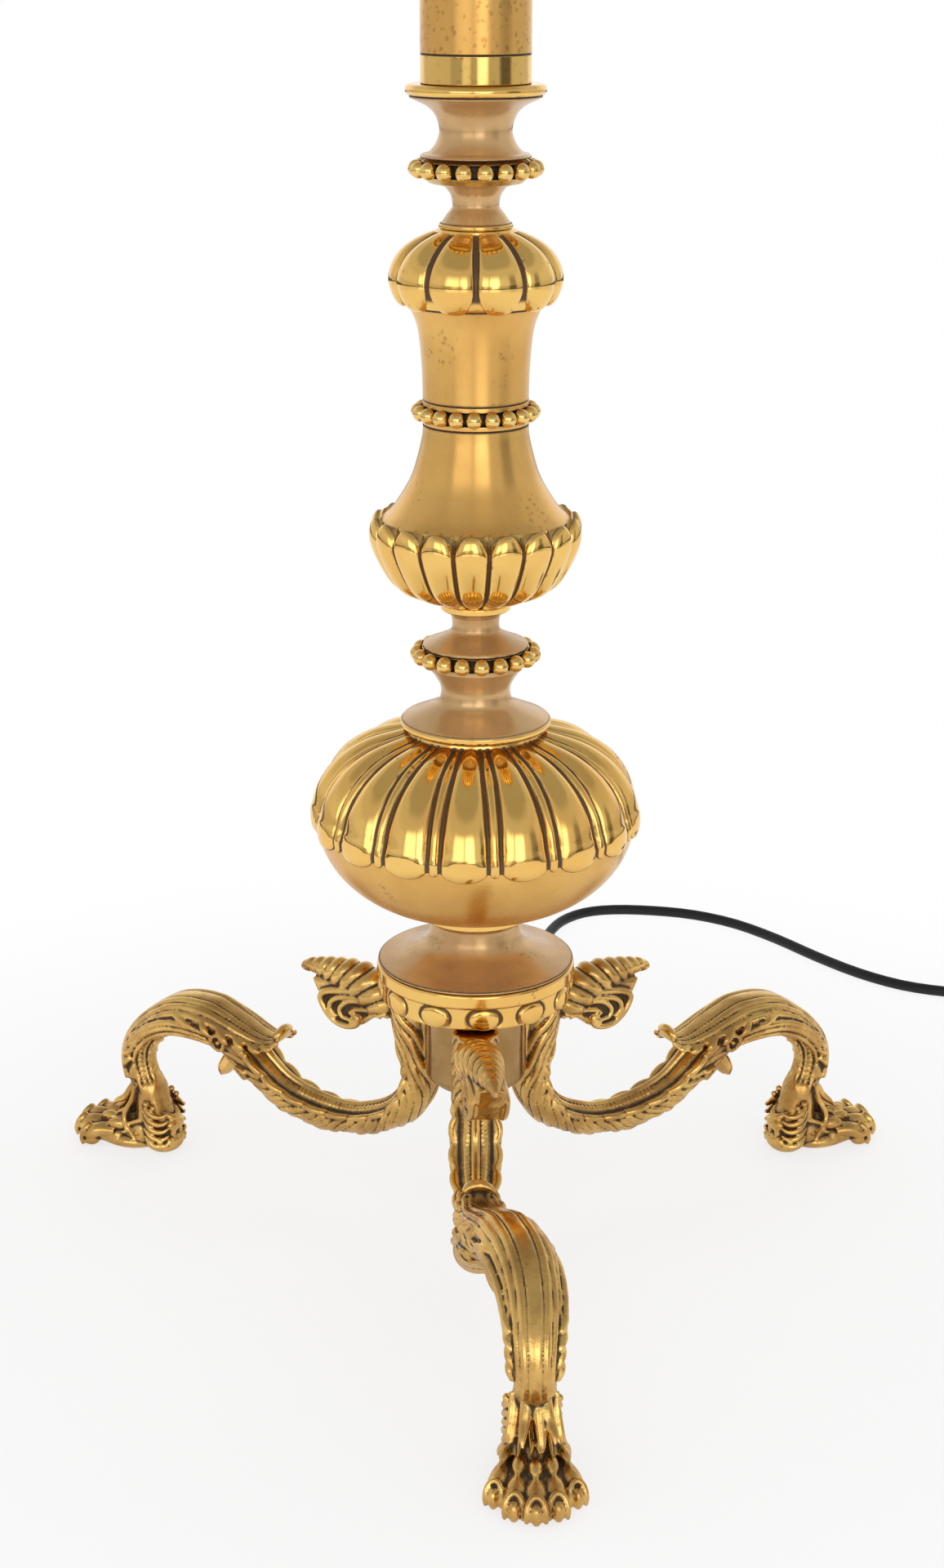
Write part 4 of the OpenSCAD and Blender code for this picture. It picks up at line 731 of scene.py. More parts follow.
def columnSleeves():
    for name, size in sleeves.items():
        sleevePiece(name, size)


for build in (trumpet, ballFootRing, ballBowl, ballSpool, cupStem, cupFootRing, columnSleeves, capSpool, waistedSpools,
              columnFlanges, tubeAndFerrules, dripDish):
    build()
print("turned pieces made")


# lobed shells: relief laid over a turned shape
def outlineFrame(points):  # each point of an outline with its distance along it and its outward normal
    pts = np.array(points, float)
    way = wayAlong(pts)
    normal = np.stack([way[:, 1], -way[:, 0]], 1)
    normal *= 1 if normal[:, 0].sum() > 0 else -1
    return pts, runAlong(pts), normal


def evenOutline(points, spacing):
    pts = np.array(points, float)
    run = runAlong(pts)
    even = np.linspace(0, run[-1], max(int(run[-1] / spacing), 4) + 1)
    return np.stack([np.interp(even, run, pts[:, 0]), np.interp(even, run, pts[:, 1])], 1)


def lobeCrest(share, power):  # 1 in the middle of a lobe, 0 at its edge
    return np.clip(1 - np.abs(share) ** power, 0, 1) ** (1 / power)


def wrappedMesh(name, radius, level, dirtAndShade):  # rows of radii and heights, one column for each angle
    angles = circleAngles(radius.shape[1])
    grid = np.stack([radius * np.cos(angles), radius * np.sin(angles), level], -1)
    return meshFrom(name, grid.reshape(-1, 3), gridFaces(*radius.shape, True, True), dirtAndShade)


def lobedPiece(name, node, outer, inner, columns, relief, spacing):
    pts, run, normal = outlineFrame(evenOutline(outer, spacing))
    height, dirtAndShade, slide = relief(pts, run[:, None], circleAngles(columns))
    inside = np.repeat(np.array(inner, float)[:, None, :], columns, 1)
    radius = np.vstack([pts[:, :1] + normal[:, :1] * height, inside[..., 0]])
    level = np.vstack([pts[:, 1:] + normal[:, 1:] * height + slide, inside[..., 1]])
    dirtAndShade = np.vstack([dirtAndShade, np.zeros(inside.shape[:2])])
    addPiece(name, wrappedMesh(name, radius, level, dirtAndShade), "polished_brass", node)


def sectorShare(angles, count, turn):  # signed angle from the middle of each lobe
    width = 2 * math.pi / count
    return (angles - math.radians(turn) + width / 2) % width - width / 2


def lobeSides(pts, angles, size):  # distance from the middle of each lobe, and half the room that a lobe has
    radius = pts[:, :1]
    return np.abs(sectorShare(angles, size["lobes"], size["turn"])[None, :] * radius), math.pi / size["lobes"] * radius


# a dart is the narrow rib in the groove between two lobes; tip, side and dartTip tell how far they hang below the seam
ballDome = {"base": 77.8, "skirt": 79.38, "collar": 33, "bore": 20, "lobes": 17, "turn": -94, "groove": 1.5,
            "dart": 2.0, "tip": 7.8, "side": 3.3, "dartTip": 5.2, "round": 7.3}


def ballDomeRelief(pts, run, angles):
    d, seam = ballDome, heights["dome"]
    side, half = lobeSides(pts, angles, d)
    top = smoothStep(2.5, 30, run)
    dart = d["dart"] * (0.62 + 0.5 * top)
    groove = d["groove"] * (0.72 + 0.28 * top)
    inLobe = np.clip(side / (half - dart - groove), 0, 1)
    inDart = np.clip((half - side) / dart, 0, 1)
    # each column ends where the fingertip of its lobe or dart does
    drop = d["side"] + (d["tip"] - d["side"]) * (1 - inLobe ** 2.2) ** 0.7 \
        + (d["dartTip"] - d["side"]) * (1 - inDart ** 2.2) ** 0.7
    edge, bend = seam - drop[-1:, :], seam + 6
    squeeze = (bend - edge) / (bend - pts[-1, 1])
    level = np.where(pts[:, 1:] < bend, bend - (bend - pts[:, 1:]) * squeeze, pts[:, 1:])
    flare = (d["skirt"] - d["base"]) * smoothStep(seam + 4.5, seam + 0.3, level)
    crest = np.interp(level, [seam, seam + 14, seam + 26, seam + 39, seam + 46], [4.4, 4.4, 4.0, 2.4, 1.4])
    above = np.clip((level - edge) / d["round"], 0, 1)
    finish = np.sqrt(np.clip(1 - (1 - above) ** 2.2, 0, 1))
    rise = smoothStep(2.6, 5.0, run)
    height = (crest - flare) * finish * np.maximum(lobeCrest(inLobe, 1.8), 0.62 * lobeCrest(inDart, 1.9)) * rise + flare
    wider = 0.10 * smoothStep(26, 4, run)
    dirtAndShade = smoothStep(0.94 - wider, 1.0 - wider, inLobe) * smoothStep(0.78, 1.0, inDart) * smoothStep(2.2, 3.2, run)
    dirtAndShade = np.maximum(dirtAndShade, 0.75 * smoothStep(0.7, 0.1, level - edge))
    dirtAndShade = np.maximum(dirtAndShade, 0.9 * np.maximum(bell(run - 0.2, 0.5), bell(run - 3.4, 0.55)))
    return height, dirtAndShade, level - pts[:, 1:]


def buildBallDome():
    z, top, c, e = heights["dome"], heights["spool"], ballDome["collar"], ballDome["base"]
    crown = top - 4.3 - (z - 2)
    arcRows = [(c - 3 + (e - c + 3) * math.sin(math.radians(a)), z - 2 + (crown - 0.5) * math.cos(math.radians(a)))
               for a in (19, 26, 33, 41, 50, 60, 70, 80)]
    outer = [(c - 1.0, top), (c, top - 0.5), (c + 0.5, top - 2.4), (c + 0.1, top - 3.4)] + curvePoints(
        arcRows + [(e, z + 3), (e, z - 2), (e, z - ballDome["tip"])], 5)
    bore = ballDome["bore"]
    inner = [(79.3, z - 0.2), (75.2, z - 0.1), (c + 26, z + crown * 0.5), (bore, top - 9), (bore, top)]
    lobedPiece("ballDome", "ball_dome", outer, inner, 850, ballDomeRelief, 0.76)


gadroonCup = {"radius": 51.2, "lobes": 18, "turn": -92.5, "depth": 3.4, "groove": 1.15, "rim": 7.3}


def cupRelief(pts, run, angles):
    d = gadroonCup
    side, half = lobeSides(pts, angles, d)
    lobe = half - d["groove"] / 2
    inLobe = np.clip(side / lobe, 0, 1)
    fromEnd = run[-1] - run
    depth = d["depth"] * (0.35 + 0.65 * smoothStep(0, 26, run))
    tip = 7.5 * (1 - np.sqrt(np.clip(1 - inLobe ** 2, 0, 1)))
    endShare = np.clip(1 - (fromEnd - tip * 0.6) / 9.5, 0, 1)
    height = depth * lobeCrest(inLobe, 2.1) * np.sqrt(np.clip(1 - endShare ** 2.4, 0, 1))
    fade = smoothStep(0.4, 3.0, run)
    dirtAndShade = np.where(side >= lobe * 0.985, 1.0, 0.85 * bell(lobe - side, 0.4))
    dirtAndShade = np.maximum(dirtAndShade * fade, 0.9 * bell(run, 0.6))
    dirtAndShade = np.maximum(dirtAndShade, 0.7 * smoothStep(1.8, 0.3, fromEnd))
    return height * fade, dirtAndShade, -tip * smoothStep(14.0, 0.0, fromEnd)


def buildCup():
    d = gadroonCup
    z, seatZ, r = heights["cup"], heights["lowSleeve"], d["radius"]
    e, h, rim = r - d["depth"], 35, seatZ + d["rim"]
    side = curvePoints([(16.6, z + 0.5), (21.8, z + 2.9), (r - 21.8, z + h * 0.18), (r - 13.2, z + h * 0.35),
                        (e - 3.6, z + h * 0.64), (e - 0.1, z + h * 0.9), (e + 0.2, rim - 3.4), (47.6, rim - 1.0),
                        (46.8, rim)], 7)
    inner = [(46.72, rim), (46.7, seatZ), (37.7, seatZ), (rodHole + 0.1, z + 9), (rodHole + 0.1, z)]
    lobedPiece("gadroonCup", "gadroon_cup", [(15.4, z)] + side, inner, 864, cupRelief, 0.7)


gadroonCap = {"radius": 40.8, "base": 32, "lobes": 10, "turn": -72, "depth": 3.6, "groove": 2.0, "height": 34.5}


def capRelief(pts, run, angles):
    d = gadroonCap
    side, half = lobeSides(pts, angles, d)
    total = run[-1]
    groove = d["groove"] * (0.85 + 0.3 * smoothStep(10, 30, run))
    # the lobes close in towards their rounded feet, which leaves small flat triangles between them
    lobe = (half - groove / 2) * (0.60 + 0.40 * np.sqrt(smoothStep(1.0, 11.0, run)))
    inLobe = np.clip(side / lobe, 0, 1)
    depth = d["depth"] * (0.32 + 0.68 * smoothStep(total, total - 22, run))
    footRound = np.sqrt(np.clip(1 - np.clip(1 - run / 8.0, 0, 1) ** 2.2, 0, 1))
    height = depth * lobeCrest(inLobe, 2.15) * footRound
    fade = smoothStep(total - 0.6, total - 3.0, run)
    dirtAndShade = np.where(side >= lobe * 0.985, 1.0, 0.85 * bell(lobe - side, 0.45)) * smoothStep(3.5, 8.5, run)
    dirtAndShade = np.maximum(dirtAndShade * fade, 0.9 * bell(run, 0.6))
    return height * fade, dirtAndShade, np.zeros_like(height)


def buildCap():
    d = gadroonCap
    z, top, base = heights["cap"], heights["capSpool"], d["base"]
    e, h = d["radius"] - d["depth"], d["height"]
    side = curvePoints([(base, z), (base + 1.6, z + 1.0), (e - 2.0, z + h * 0.13), (e, z + h * 0.32),
                        (e - 1.3, z + h * 0.5),
                        (e - 4.4, z + h * 0.64), (e - 9.2, z + h * 0.78), (e - 14.6, z + h * 0.89), (17.9, top - 1.6)],
                        6)
    inner = [(rodHole + 0.1, top), (rodHole + 0.1, top - 6), (base - 5, z + h * 0.45), (base - 5, z)]
    lobedPiece("gadroonCap", "gadroon_cap", side + [(17.7, top)], inner, 760, capRelief, 0.6)


hubDrum = {"lip": 50, "lipHeight": 7.4, "step": 1.6, "height": 19, "coins": 12, "coinTurn": -85, "coinWide": 7.3,
           "coinTall": 5.4, "coinRise": 5.6, "bulge": 1.4, "moat": 1.8, "moatDepth": 0.55}


def drumRelief(pts, run, angles):
    d = hubDrum
    radius, level = pts[:, :1], pts[:, 1:]
    bandRadius = d["lip"] - d["step"]
    lipZ = heights["drum"] + d["height"] - d["lipHeight"]
    across = sectorShare(angles, d["coins"], d["coinTurn"])[None, :] * bandRadius / d["coinWide"]
    up = (level - heights["drum"] - d["coinRise"]) / d["coinTall"]
    onBand = (radius > bandRadius - 0.5) & (level < lipZ - 0.05)
    away = np.sqrt(across ** 2 + up ** 2)
    beside = (away - 1) * d["coinRise"] / d["moat"]  # 0 at the coin's edge, 1 where its moat ends
    moat = band(beside, -0.1, 0.3, 0.6, 1.0)
    height = np.where(onBand, d["bulge"] * lobeCrest(np.clip(away, 0, 1), 2.4) - d["moatDepth"] * moat, 0)
    # painted shade and patina: the moat round each coin is darkened, more towards its top and sides and less towards
    # its bottom, as shade falls in it
    dirtAndShade = np.where(onBand, moat * np.clip(0.7 + 0.55 * up + 0.25 * np.abs(across), 0.12, 1), 0)
    underLip = (radius < d["lip"] - 0.3) & (radius > bandRadius - 1)
    dirtAndShade = np.maximum(dirtAndShade, 0.8 * bell(level - lipZ, 0.45) * underLip)
    return height, dirtAndShade, np.zeros_like(height)


def buildDrum():
    d = hubDrum
    z, r, side = heights["drum"], d["lip"], d["lip"] - d["step"]
    top = z + d["height"]
    lipZ = top - d["lipHeight"]
    outer = [(side - 1.5, z), (side - 0.5, z + 0.3), (side, z + 1.0), (side, lipZ - 0.1), (side + 0.3, lipZ),
             (r - 0.5, lipZ + 0.4), (r, lipZ + 1.1), (r, top - 1.1), (r - 0.35, top - 0.3), (r - 1.1, top)]
    inner = [(rodHole, top), (rodHole, top - 8), (26.15, top - 8), (26.15, z)]
    lobedPiece("hubDrum", "hub_drum", outer, inner, 1080, drumRelief, 0.36)


hubSize = {"radius": 26, "low": 92.5, "top": 150, "round": 5, "bore": 20, "capRadius": 21.5, "capDrop": 3.4,
           "capSpigot": 19.85}


def hubAndCap():
    r, low, top, corner, bore, capRadius, capDrop, spigot = hubSize.values()
    core = [(bore + 1, low)] + arcPoints((r - corner, low + corner), corner, corner, -70, 0, 8) + [(r, top)]
    turnedPiece("hubCore", "hub_core", core, "dark_brass", joints=False, marks=[(bore + 1, low, 1.2, 0.9)])
    under = arcPoints((0, low - 1), capRadius, capDrop - 1, -88, 0, 12)
    spigotEdge = [(capRadius, low), (spigot, low), (spigot, low + 4)]
    turnedPiece("hubCap", "hub_cap", [(0.02, low - capDrop)] + under + spigotEdge,
                "dark_brass", bore=0.0, joints=False, marks=[(capRadius, low, 0.8, 0.9)])


for build in (buildBallDome, buildCup, buildCap, buildDrum, hubAndCap):
    build()
print("lobed shells and drum made")


# bead rings, by Geometry Nodes
def beadTree():
    tree = bpy.data.node_groups.new("beadRow", "GeometryNodeTree")
    tree.interface.new_socket("Geometry", in_out="INPUT", socket_type="NodeSocketGeometry")
    ids = {}
    for label, kind in (("Beads", "NodeSocketInt"), ("Circle Radius", "NodeSocketFloat"),
                        ("Bead Radius", "NodeSocketFloat"),
                        ("Height", "NodeSocketFloat"), ("Turn", "NodeSocketFloat"), ("Material", "NodeSocketMaterial")):
        ids[label] = tree.interface.new_socket(label, in_out="INPUT", socket_type=kind).identifier
    tree.interface.new_socket("Geometry", in_out="OUTPUT", socket_type="NodeSocketGeometry")
    given, out = tree.nodes.new("NodeGroupInput"), tree.nodes.new("NodeGroupOutput")
    ring = addNode(tree, "GeometryNodeMeshCircle", {"Vertices": given.outputs["Beads"],
                                                    "Radius": given.outputs["Circle Radius"]})
    lift = addNode(tree, "ShaderNodeCombineXYZ", {2: given.outputs["Height"]})
    turn = addNode(tree, "ShaderNodeCombineXYZ", {2: given.outputs["Turn"]})
    placed = addNode(tree, "GeometryNodeTransform", {"Geometry": ring.outputs["Mesh"], "Translation": lift.outputs[0],
                     "Rotation": turn.outputs[0]})
    bead = addNode(tree, "GeometryNodeMeshUVSphere", {"Segments": 32, "Rings": 20,
                                                      "Radius": given.outputs["Bead Radius"]})
    dots = addNode(tree, "GeometryNodeInstanceOnPoints", {"Points": placed.outputs[0],
                                                          "Instance": bead.outputs["Mesh"]})
    real = addNode(tree, "GeometryNodeRealizeInstances", {0: dots.outputs[0]})
    both = tree.nodes.new("GeometryNodeJoinGeometry")
    tree.links.new(real.outputs[0], both.inputs[0])
    tree.links.new(given.outputs["Geometry"], both.inputs[0])
    dressed = addNode(tree, "GeometryNodeSetMaterial", {"Geometry": both.outputs[0],
                                                        "Material": given.outputs["Material"]})
    tree.links.new(dressed.outputs[0], out.inputs[0])
    return tree, ids


beadRow, beadSockets = beadTree()


def grownMesh(base, tree, values, name):  # runs a tree on a base mesh and keeps the result as a plain mesh
    host = makeObject(name + "Host", base)
    modifier = host.modifiers.new(name, "NODES")
    modifier.node_group = tree
    for key, value in values.items():
        modifier[key] = value
    result = evaluatedMesh(host)
    result.name = name
    smoothFaces(result)
    return result


# low and body are the radii of the ring's ends and of its body, circle is where the beads' middles lie
beadRings = {
    "lowerBeadRing": {"node": "lower_bead_ring", "base": "lowRing", "height": 7, "low": 24, "body": 26.4,
                      "circle": 28.0, "beads": 19, "size": 4.0, "rise": 3.5, "turn": -84.3, "rim": 0.3},
    "middleBeadRing": {"node": "middle_bead_ring", "base": "midRing", "height": 11, "low": 25.1, "body": 25.3,
                       "circle": 26.9, "beads": 20, "size": 3.8, "rise": 5.5, "turn": -91.7, "rim": 0.0},
    "upperBeadRing": {"node": "upper_bead_ring", "base": "upRing", "height": 11.4, "low": 21.5, "body": 25.2,
                      "circle": 27.4, "beads": 18, "size": 3.95, "rise": 6.38, "turn": -81.5, "rim": 0.35},
}


def beadRing(name, size):
    z, r, low = heights[size["base"]], size["body"], size["low"]
    mid, top = z + size["rise"], z + size["height"]
    # the beads sit in a shallow channel round the ring
    outline = [(low, z), (r, mid - 3.3), (r - 1.5, mid - 2.3), (r - 1.5, mid + 2.3), (r, mid + 3.3), (low, top)]
    loop = softened([(rodHole, z)] + outline + [(rodHole, top)], 0.45)
    body = revolve(name, loop, [0.0] * len(loop), 160)
    values = {"Beads": size["beads"], "Circle Radius": size["circle"] * mm, "Bead Radius": size["size"] * mm,
              "Height": mid * mm, "Turn": math.radians(size["turn"]), "Material": mats["bead_brass"]}
    mesh = grownMesh(body, beadRow, {beadSockets[label]: value for label, value in values.items()}, name)
    place = meshPlaces(mesh) / mm
    reach = np.hypot(place[:, 0], place[:, 1])
    step = 360 / size["beads"]
    away = (np.degrees(np.arctan2(place[:, 1], place[:, 0])) - size["turn"]) % step
    away = np.radians(np.minimum(away, step - away)) * size["circle"]
    fromBead = np.sqrt((reach - size["circle"]) ** 2 + away ** 2 + (place[:, 2] - mid) ** 2)
    onBead = np.abs(fromBead - size["size"]) < 0.12
    # painted shade: each bead darker on its back, where it sinks into the ring's channel, and towards its sides; the
    # channel behind the beads darkened as patina and painted shade, the ring's body an even patina set by rim
    beadShade = 0.95 * smoothStep(1.4, 0.2, reach - r) + 0.2 * smoothStep(0.3, 1.0, away / size["size"])
    ringPatinaAndShade = np.maximum(0.95 * smoothStep(3.7, 2.9, np.abs(place[:, 2] - mid)), size["rim"])
    ringPatinaAndShade = ringPatinaAndShade * smoothStep(0.2, 1.3, top - place[:, 2])
    layer = mesh.attributes.get(dirtAndShadeName) or mesh.attributes.new(dirtAndShadeName, "FLOAT", "POINT")
    layer.data.foreach_set("value", np.where(onBead, beadShade, ringPatinaAndShade).tolist())
    addPiece(name, mesh, "bead_brass", size["node"])
    if low > r - 0.5:  # a straight ring ends in bands turned like the sleeves beside it
        mesh.materials.append(mats["satin_brass"])
        for poly in mesh.polygons:
            poly.material_index = int(abs(poly.center[2] / mm - mid) > 3.4)


for name, size in beadRings.items():
    beadRing(name, size)
print("bead rings made")


# legs: one carved casting, fused from a swept stem and strokes laid on it
# A leg is made in its own plane: x away from the column, y across, z up.

legSize = {
    "halfWidth": 11.5, "reach": 261, "pawWidth": 44, "seat": 24.5, "bend": 26, "voxel": 0.64, "quickVoxel": 1.1,
    "triangles": 176000,
    # x, z, half thickness and share of the half width
    "path": [(42, 137.6, 12.4, 0.92), (35.4, 109, 10.8, 1.02), (33.8, 86, 9.8, 1.04), (38.4, 71.5, 9, 1.06),
             (49, 60.5, 8.7, 1.02), (65.5, 53, 8.6, 0.88), (79, 50.2, 8.9, 0.82), (93, 50, 9.8, 0.84),
             (108, 52.6, 10.2, 0.9),
             (121, 58, 10.2, 0.96), (133, 67, 10.4, 1.04), (144, 77, 11, 1.12), (156, 85, 11.6, 1.18),
             (171, 88.4, 11.2, 1.2),
             (188, 86, 10.3, 1.16), (203, 77.5, 8.7, 1.06), (213.5, 65.5, 8.7, 0.94), (217, 54, 9.5, 0.85),
             (215, 43, 9.9, 0.86), (210.5, 33, 10.6, 0.98), (208, 20, 12.4, 1.16)],
}
pathSteps = 20

# Places along the stem are counted in millimetres from the root's throat, so that the top of the root is below 0.
# Angles are degrees from the stem's upper side, and girth is what a degree measures round it.
stemCarving = {
    "girth": 0.18, "throat": 44.7, "throatPoint": 3,
    "lean": ([0, 45, 62, 150, 170, 185, 232, 250, 300], [0.5, 0.5, 0.75, 0.75, 0.1, -0.5, -0.6, -1.0, -1.0]),
    "strandPitch": 4.8, "strandDepth": ([0, 50, 70, 160, 190, 240, 262, 275], [2.3, 2.3, 2.1, 2.1, 2.2, 2.0, 1.0, 0.4]),
    "stem": (16, 28, 166, 174), "channelEdge": (62, 54), "channelDepth": 1.3, "channelRib": (2.6, 1.3, 2.1),
    "barTall": 1.1, "barPitch": 2.7, "barsAcross": (2.4, 2.9, 6.3, 6.9), "barsAlong": (24, 28, 120, 128),
    "flange": 71, "flangeHalf": 12, "flangeTall": (0.7, 2.7), "scallop": 14.5,
    "leaf": (172, 182, 268, 269.5), "leafEdge": ([176, 215, 262], [82, 72, 66]), "leafLift": 0.8,
    "panelAlong": (234, 238, 273, 276), "panelRound": (100, 104, 154, 158), "panelDepth": 0.9,
    "dotTall": 0.9, "dotPitch": 3.6, "dotsRound": (116, 119, 129, 132), "rimTall": 1.3, "rims": (105, 143),
    "rimHalf": 3.5,
    "ankleTop": (268, 270), "ankleUnder": (276, 284), "ankleDepth": 0.6, "sunk": 0.9,
}
girth = stemCarving["girth"]
legLine = np.array(curvePoints(legSize["path"], pathSteps))
legPlace = np.linspace(0, len(legSize["path"]) - 1, len(legLine))
legWay = wayAlong(legLine[:, :2])
legRun = runAlong(legLine[:, :2])
legRun += stemCarving["throat"] - legRun[stemCarving["throatPoint"] * pathSteps]
strandFlow = np.concatenate([[0], np.cumsum(np.diff(legRun) * np.interp(legRun[:-1], *stemCarving["lean"]))])


def lineNormal(t, places, way):  # the normal of a line in the leg's plane, between its points
    wx, wz = np.interp(t, places, way[:, 0]), np.interp(t, places, way[:, 1])
    length = np.hypot(wx, wz)
    return -wz / length, wx / length


def legAt(u):  # place, outward normal, half thickness and half width of the stem at u, counted in path points
    x, z, thick, share = (np.interp(u, legPlace, legLine[:, k]) for k in range(4))
    return x, z, *lineNormal(u, legPlace, legWay), thick, share * legSize["halfWidth"]


def onLeg(u, angle, lift=0.0):
    x, z, nx, nz, thick, wide = legAt(u)
    a = np.radians(angle)
    up, across = (thick + lift) * np.cos(a), (wide + lift) * np.sin(a)
    return np.stack(np.broadcast_arrays(x + nx * up, across, z + nz * up), -1)


shells = []


def ringShell(rings):  # a closed strip of rings with its ends filled
    rings = np.asarray(rings, float)
    shells.append((rings.reshape(-1, 3), cappedFaces(*rings.shape[:2])))


def tubeShell(points, normals, half, tall, sides):
    half = np.maximum(half, 0.15)[:, None, None]
    way = wayAlong(points)
    side = np.cross(way, normals)
    side /= np.maximum(np.linalg.norm(side, axis=1), 1e-6)[:, None]
    up = np.cross(side, way)
    a = circleAngles(sides)[None, :, None]
    ringShell(points[:, None, :] + side[:, None, :] * (np.cos(a) * half) + up[:, None, :] * (np.sin(a) * half * tall))


def splined(rows, count):
    dense = np.array(curvePoints(rows, 6))
    t = np.linspace(0, len(dense) - 1, count)
    return np.stack([np.interp(t, np.arange(len(dense)), dense[:, k]) for k in range(dense.shape[1])], 1)


def strokeOn(surface, rows, tall, count, sides=8):  # rows of two places on a surface, lift and half width
    s = splined(rows, count)
    points = surface(s[:, 0], s[:, 1], s[:, 2])
    tubeShell(points, points - surface(s[:, 0], s[:, 1], s[:, 2] - 2), s[:, 3], tall, sides)


def cordStroke(rows, tall=1.0, count=12, sides=8, normal=(0, 0, 1)):  # rows of x, y, z and half width
    s = splined(rows, count)
    tubeShell(s[:, :3], np.repeat([normal], count, 0), s[:, 3], tall, sides)


def mirrored(rows, side):  # the second value of a row is the place across
    return [(row[0], side * row[1], *row[2:]) for row in rows]


def blob(centre, radii, turn=0.0, rings=14, sides=20):
    vv, aa = np.meshgrid(np.linspace(0, math.pi, rings + 1), circleAngles(sides), indexing="ij")
    ball = np.stack([radii[0] * np.sin(vv) * np.cos(aa), radii[1] * np.sin(vv) * np.sin(aa), radii[2] * np.cos(vv)], -1)
    ringShell((turnedAbout(ball, math.radians(turn)) + np.array(centre, float))[1:-1])


def strand(phase, power=0.55):  # rounded strands with sharp grooves between them, one for each whole number
    t = 2 * (phase - np.floor(phase)) - 1
    return np.clip(1 - t * t, 0, 1) ** power


def ridges(run, pitch, power=0.6):
    return np.abs(np.sin(np.pi * run / pitch)) ** power


ribPitch = {"middle": 3.4, "rib": 3.7}


def leafRibs(g):  # a flat middle band and three ribs on each side, g millimetres from the middle
    middle, rib = ribPitch["middle"], ribPitch["rib"]
    return np.maximum(0.9 * smoothStep(middle - 0.1, 2.5, g), 1.8 * strand((g - middle) / rib) * (g > middle)) - 0.3


def legHeight(u, signed):  # strands all round, a channel on top, ribs over the knee, panels on the shin
    c = stemCarving
    a = np.abs(signed)
    g = a * girth
    s = np.interp(u, legPlace, legRun)
    phase = (g - np.interp(u, legPlace, strandFlow)) / c["strandPitch"] + 0.16 * np.sin(s * 0.19 + 0.03 * a)
    height = np.interp(s, *c["strandDepth"]) * strand(phase) * (0.72 + 0.28 * np.sin(2.1 * np.floor(phase) + s / 9))
    onStem = band(s, *c["stem"])
    ribFrom, ribTo, ribTall = c["channelRib"]
    bars = c["barTall"] * ridges(s, c["barPitch"]) * band(g, *c["barsAcross"]) * band(s, *c["barsAlong"])
    channel = -c["channelDepth"] + ribTall * smoothStep(ribFrom, ribTo, g) + bars
    inChannel = onStem * smoothStep(*c["channelEdge"], a)
    height = height * (1 - inChannel) + channel * inChannel
    low, high = c["flangeTall"]
    flange = np.sqrt(np.clip(1 - ((a - c["flange"]) / c["flangeHalf"]) ** 2, 0, 1)) * (
        low + high * ridges(s, c["scallop"]))
    height = np.where(flange * onStem > 0, np.maximum(height * (1 - 0.7 * onStem), flange * onStem), height)
    edge = np.interp(s, *c["leafEdge"])
    onLeaf = band(s, *c["leaf"]) * smoothStep(edge + 2.5, edge - 1, a)
    height = height * (1 - onLeaf) + (leafRibs(g) + c["leafLift"]) * onLeaf
    panel = band(s, *c["panelAlong"]) * band(a, *c["panelRound"])
    dots = c["dotTall"] * ridges(s, c["dotPitch"]) * band(a, *c["dotsRound"])
    rims = c["rimTall"] * sum(bell(a - rim, c["rimHalf"]) for rim in c["rims"])
    height = height * (1 - panel) + (-c["panelDepth"] + dots + rims) * panel
    ankle = np.where(a < 96, smoothStep(*c["ankleTop"], s), smoothStep(*c["ankleUnder"], s))
    return height * (1 - ankle) - c["ankleDepth"] * ankle


def stemShell():
    rows = np.linspace(0, len(legSize["path"]) - 1, 620)
    uu, aa = np.meshgrid(rows, np.linspace(0, 360, 144, endpoint=False), indexing="ij")
    signed = (aa + 180) % 360 - 180
    ringShell(onLeg(uu, aa, legHeight(uu, signed) - stemCarving["sunk"]))


rootSize = {"deep": 15, "half": 7.8, "low": 96.5, "high": 138.4}


def rootBlock():  # the flat pad by which the leg is bolted to the hub
    deep, half, low, high = rootSize.values()
    s = legSize["seat"]
    box = np.array([[x, y, z] for z in (low, high) for y in (-half, half) for x in (s, s + deep)])
    shells.append((box, [(0, 1, 3, 2), (4, 6, 7, 5), (0, 4, 5, 1), (1, 5, 7, 3), (3, 7, 6, 2), (2, 6, 4, 0)]))


# path: x from the base, z from the drum's foot and radius
hornSize = {"base": 51.2, "lift": 2, "sides": 40, "pitch": ([0, 60], [10.5, 6.6]), "lean": 0.57, "rib": (0.76, 0.30),
            "path": [(-4, -22, 7), (3, -17, 11.5), (12, -12.2, 11), (22, -9.4, 9.6), (32, -8.2, 7.8), (42, -7.4, 5.4),
                     (50, -7.4, 3.2), (55, -8.6, 0.9)],
            "tip": [(100, 0, 131.5, 2.4), (104, 0, 130.8, 1.6), (106.8, 0, 131.8, 0.8)]}


def hornShell():
    h = hornSize
    line = np.array(curvePoints([(h["base"] + x, z + heights["drum"] + h["lift"], r) for x, z, r in h["path"]], 18))
    way = wayAlong(line[:, :2])
    run = runAlong(line[:, :2])
    a = circleAngles(h["sides"])
    rings = []
    for (x, z, r), (wx, wz), along in zip(line, way, run):
        # shell ribs that lean back towards the top of the horn and grow closer to its tip
        phase = (along + h["lean"] * r * np.cos(a)) / np.interp(along, *h["pitch"])
        rib = r * (h["rib"][0] + h["rib"][1] * strand(phase, 0.5)) if r > 1.2 else r * np.ones_like(a)
        rings.append(np.stack([x - wz * rib * np.cos(a), rib * np.sin(a), z + wx * rib * np.cos(a)], -1))
    ringShell(rings)
    cordStroke(h["tip"], count=8)


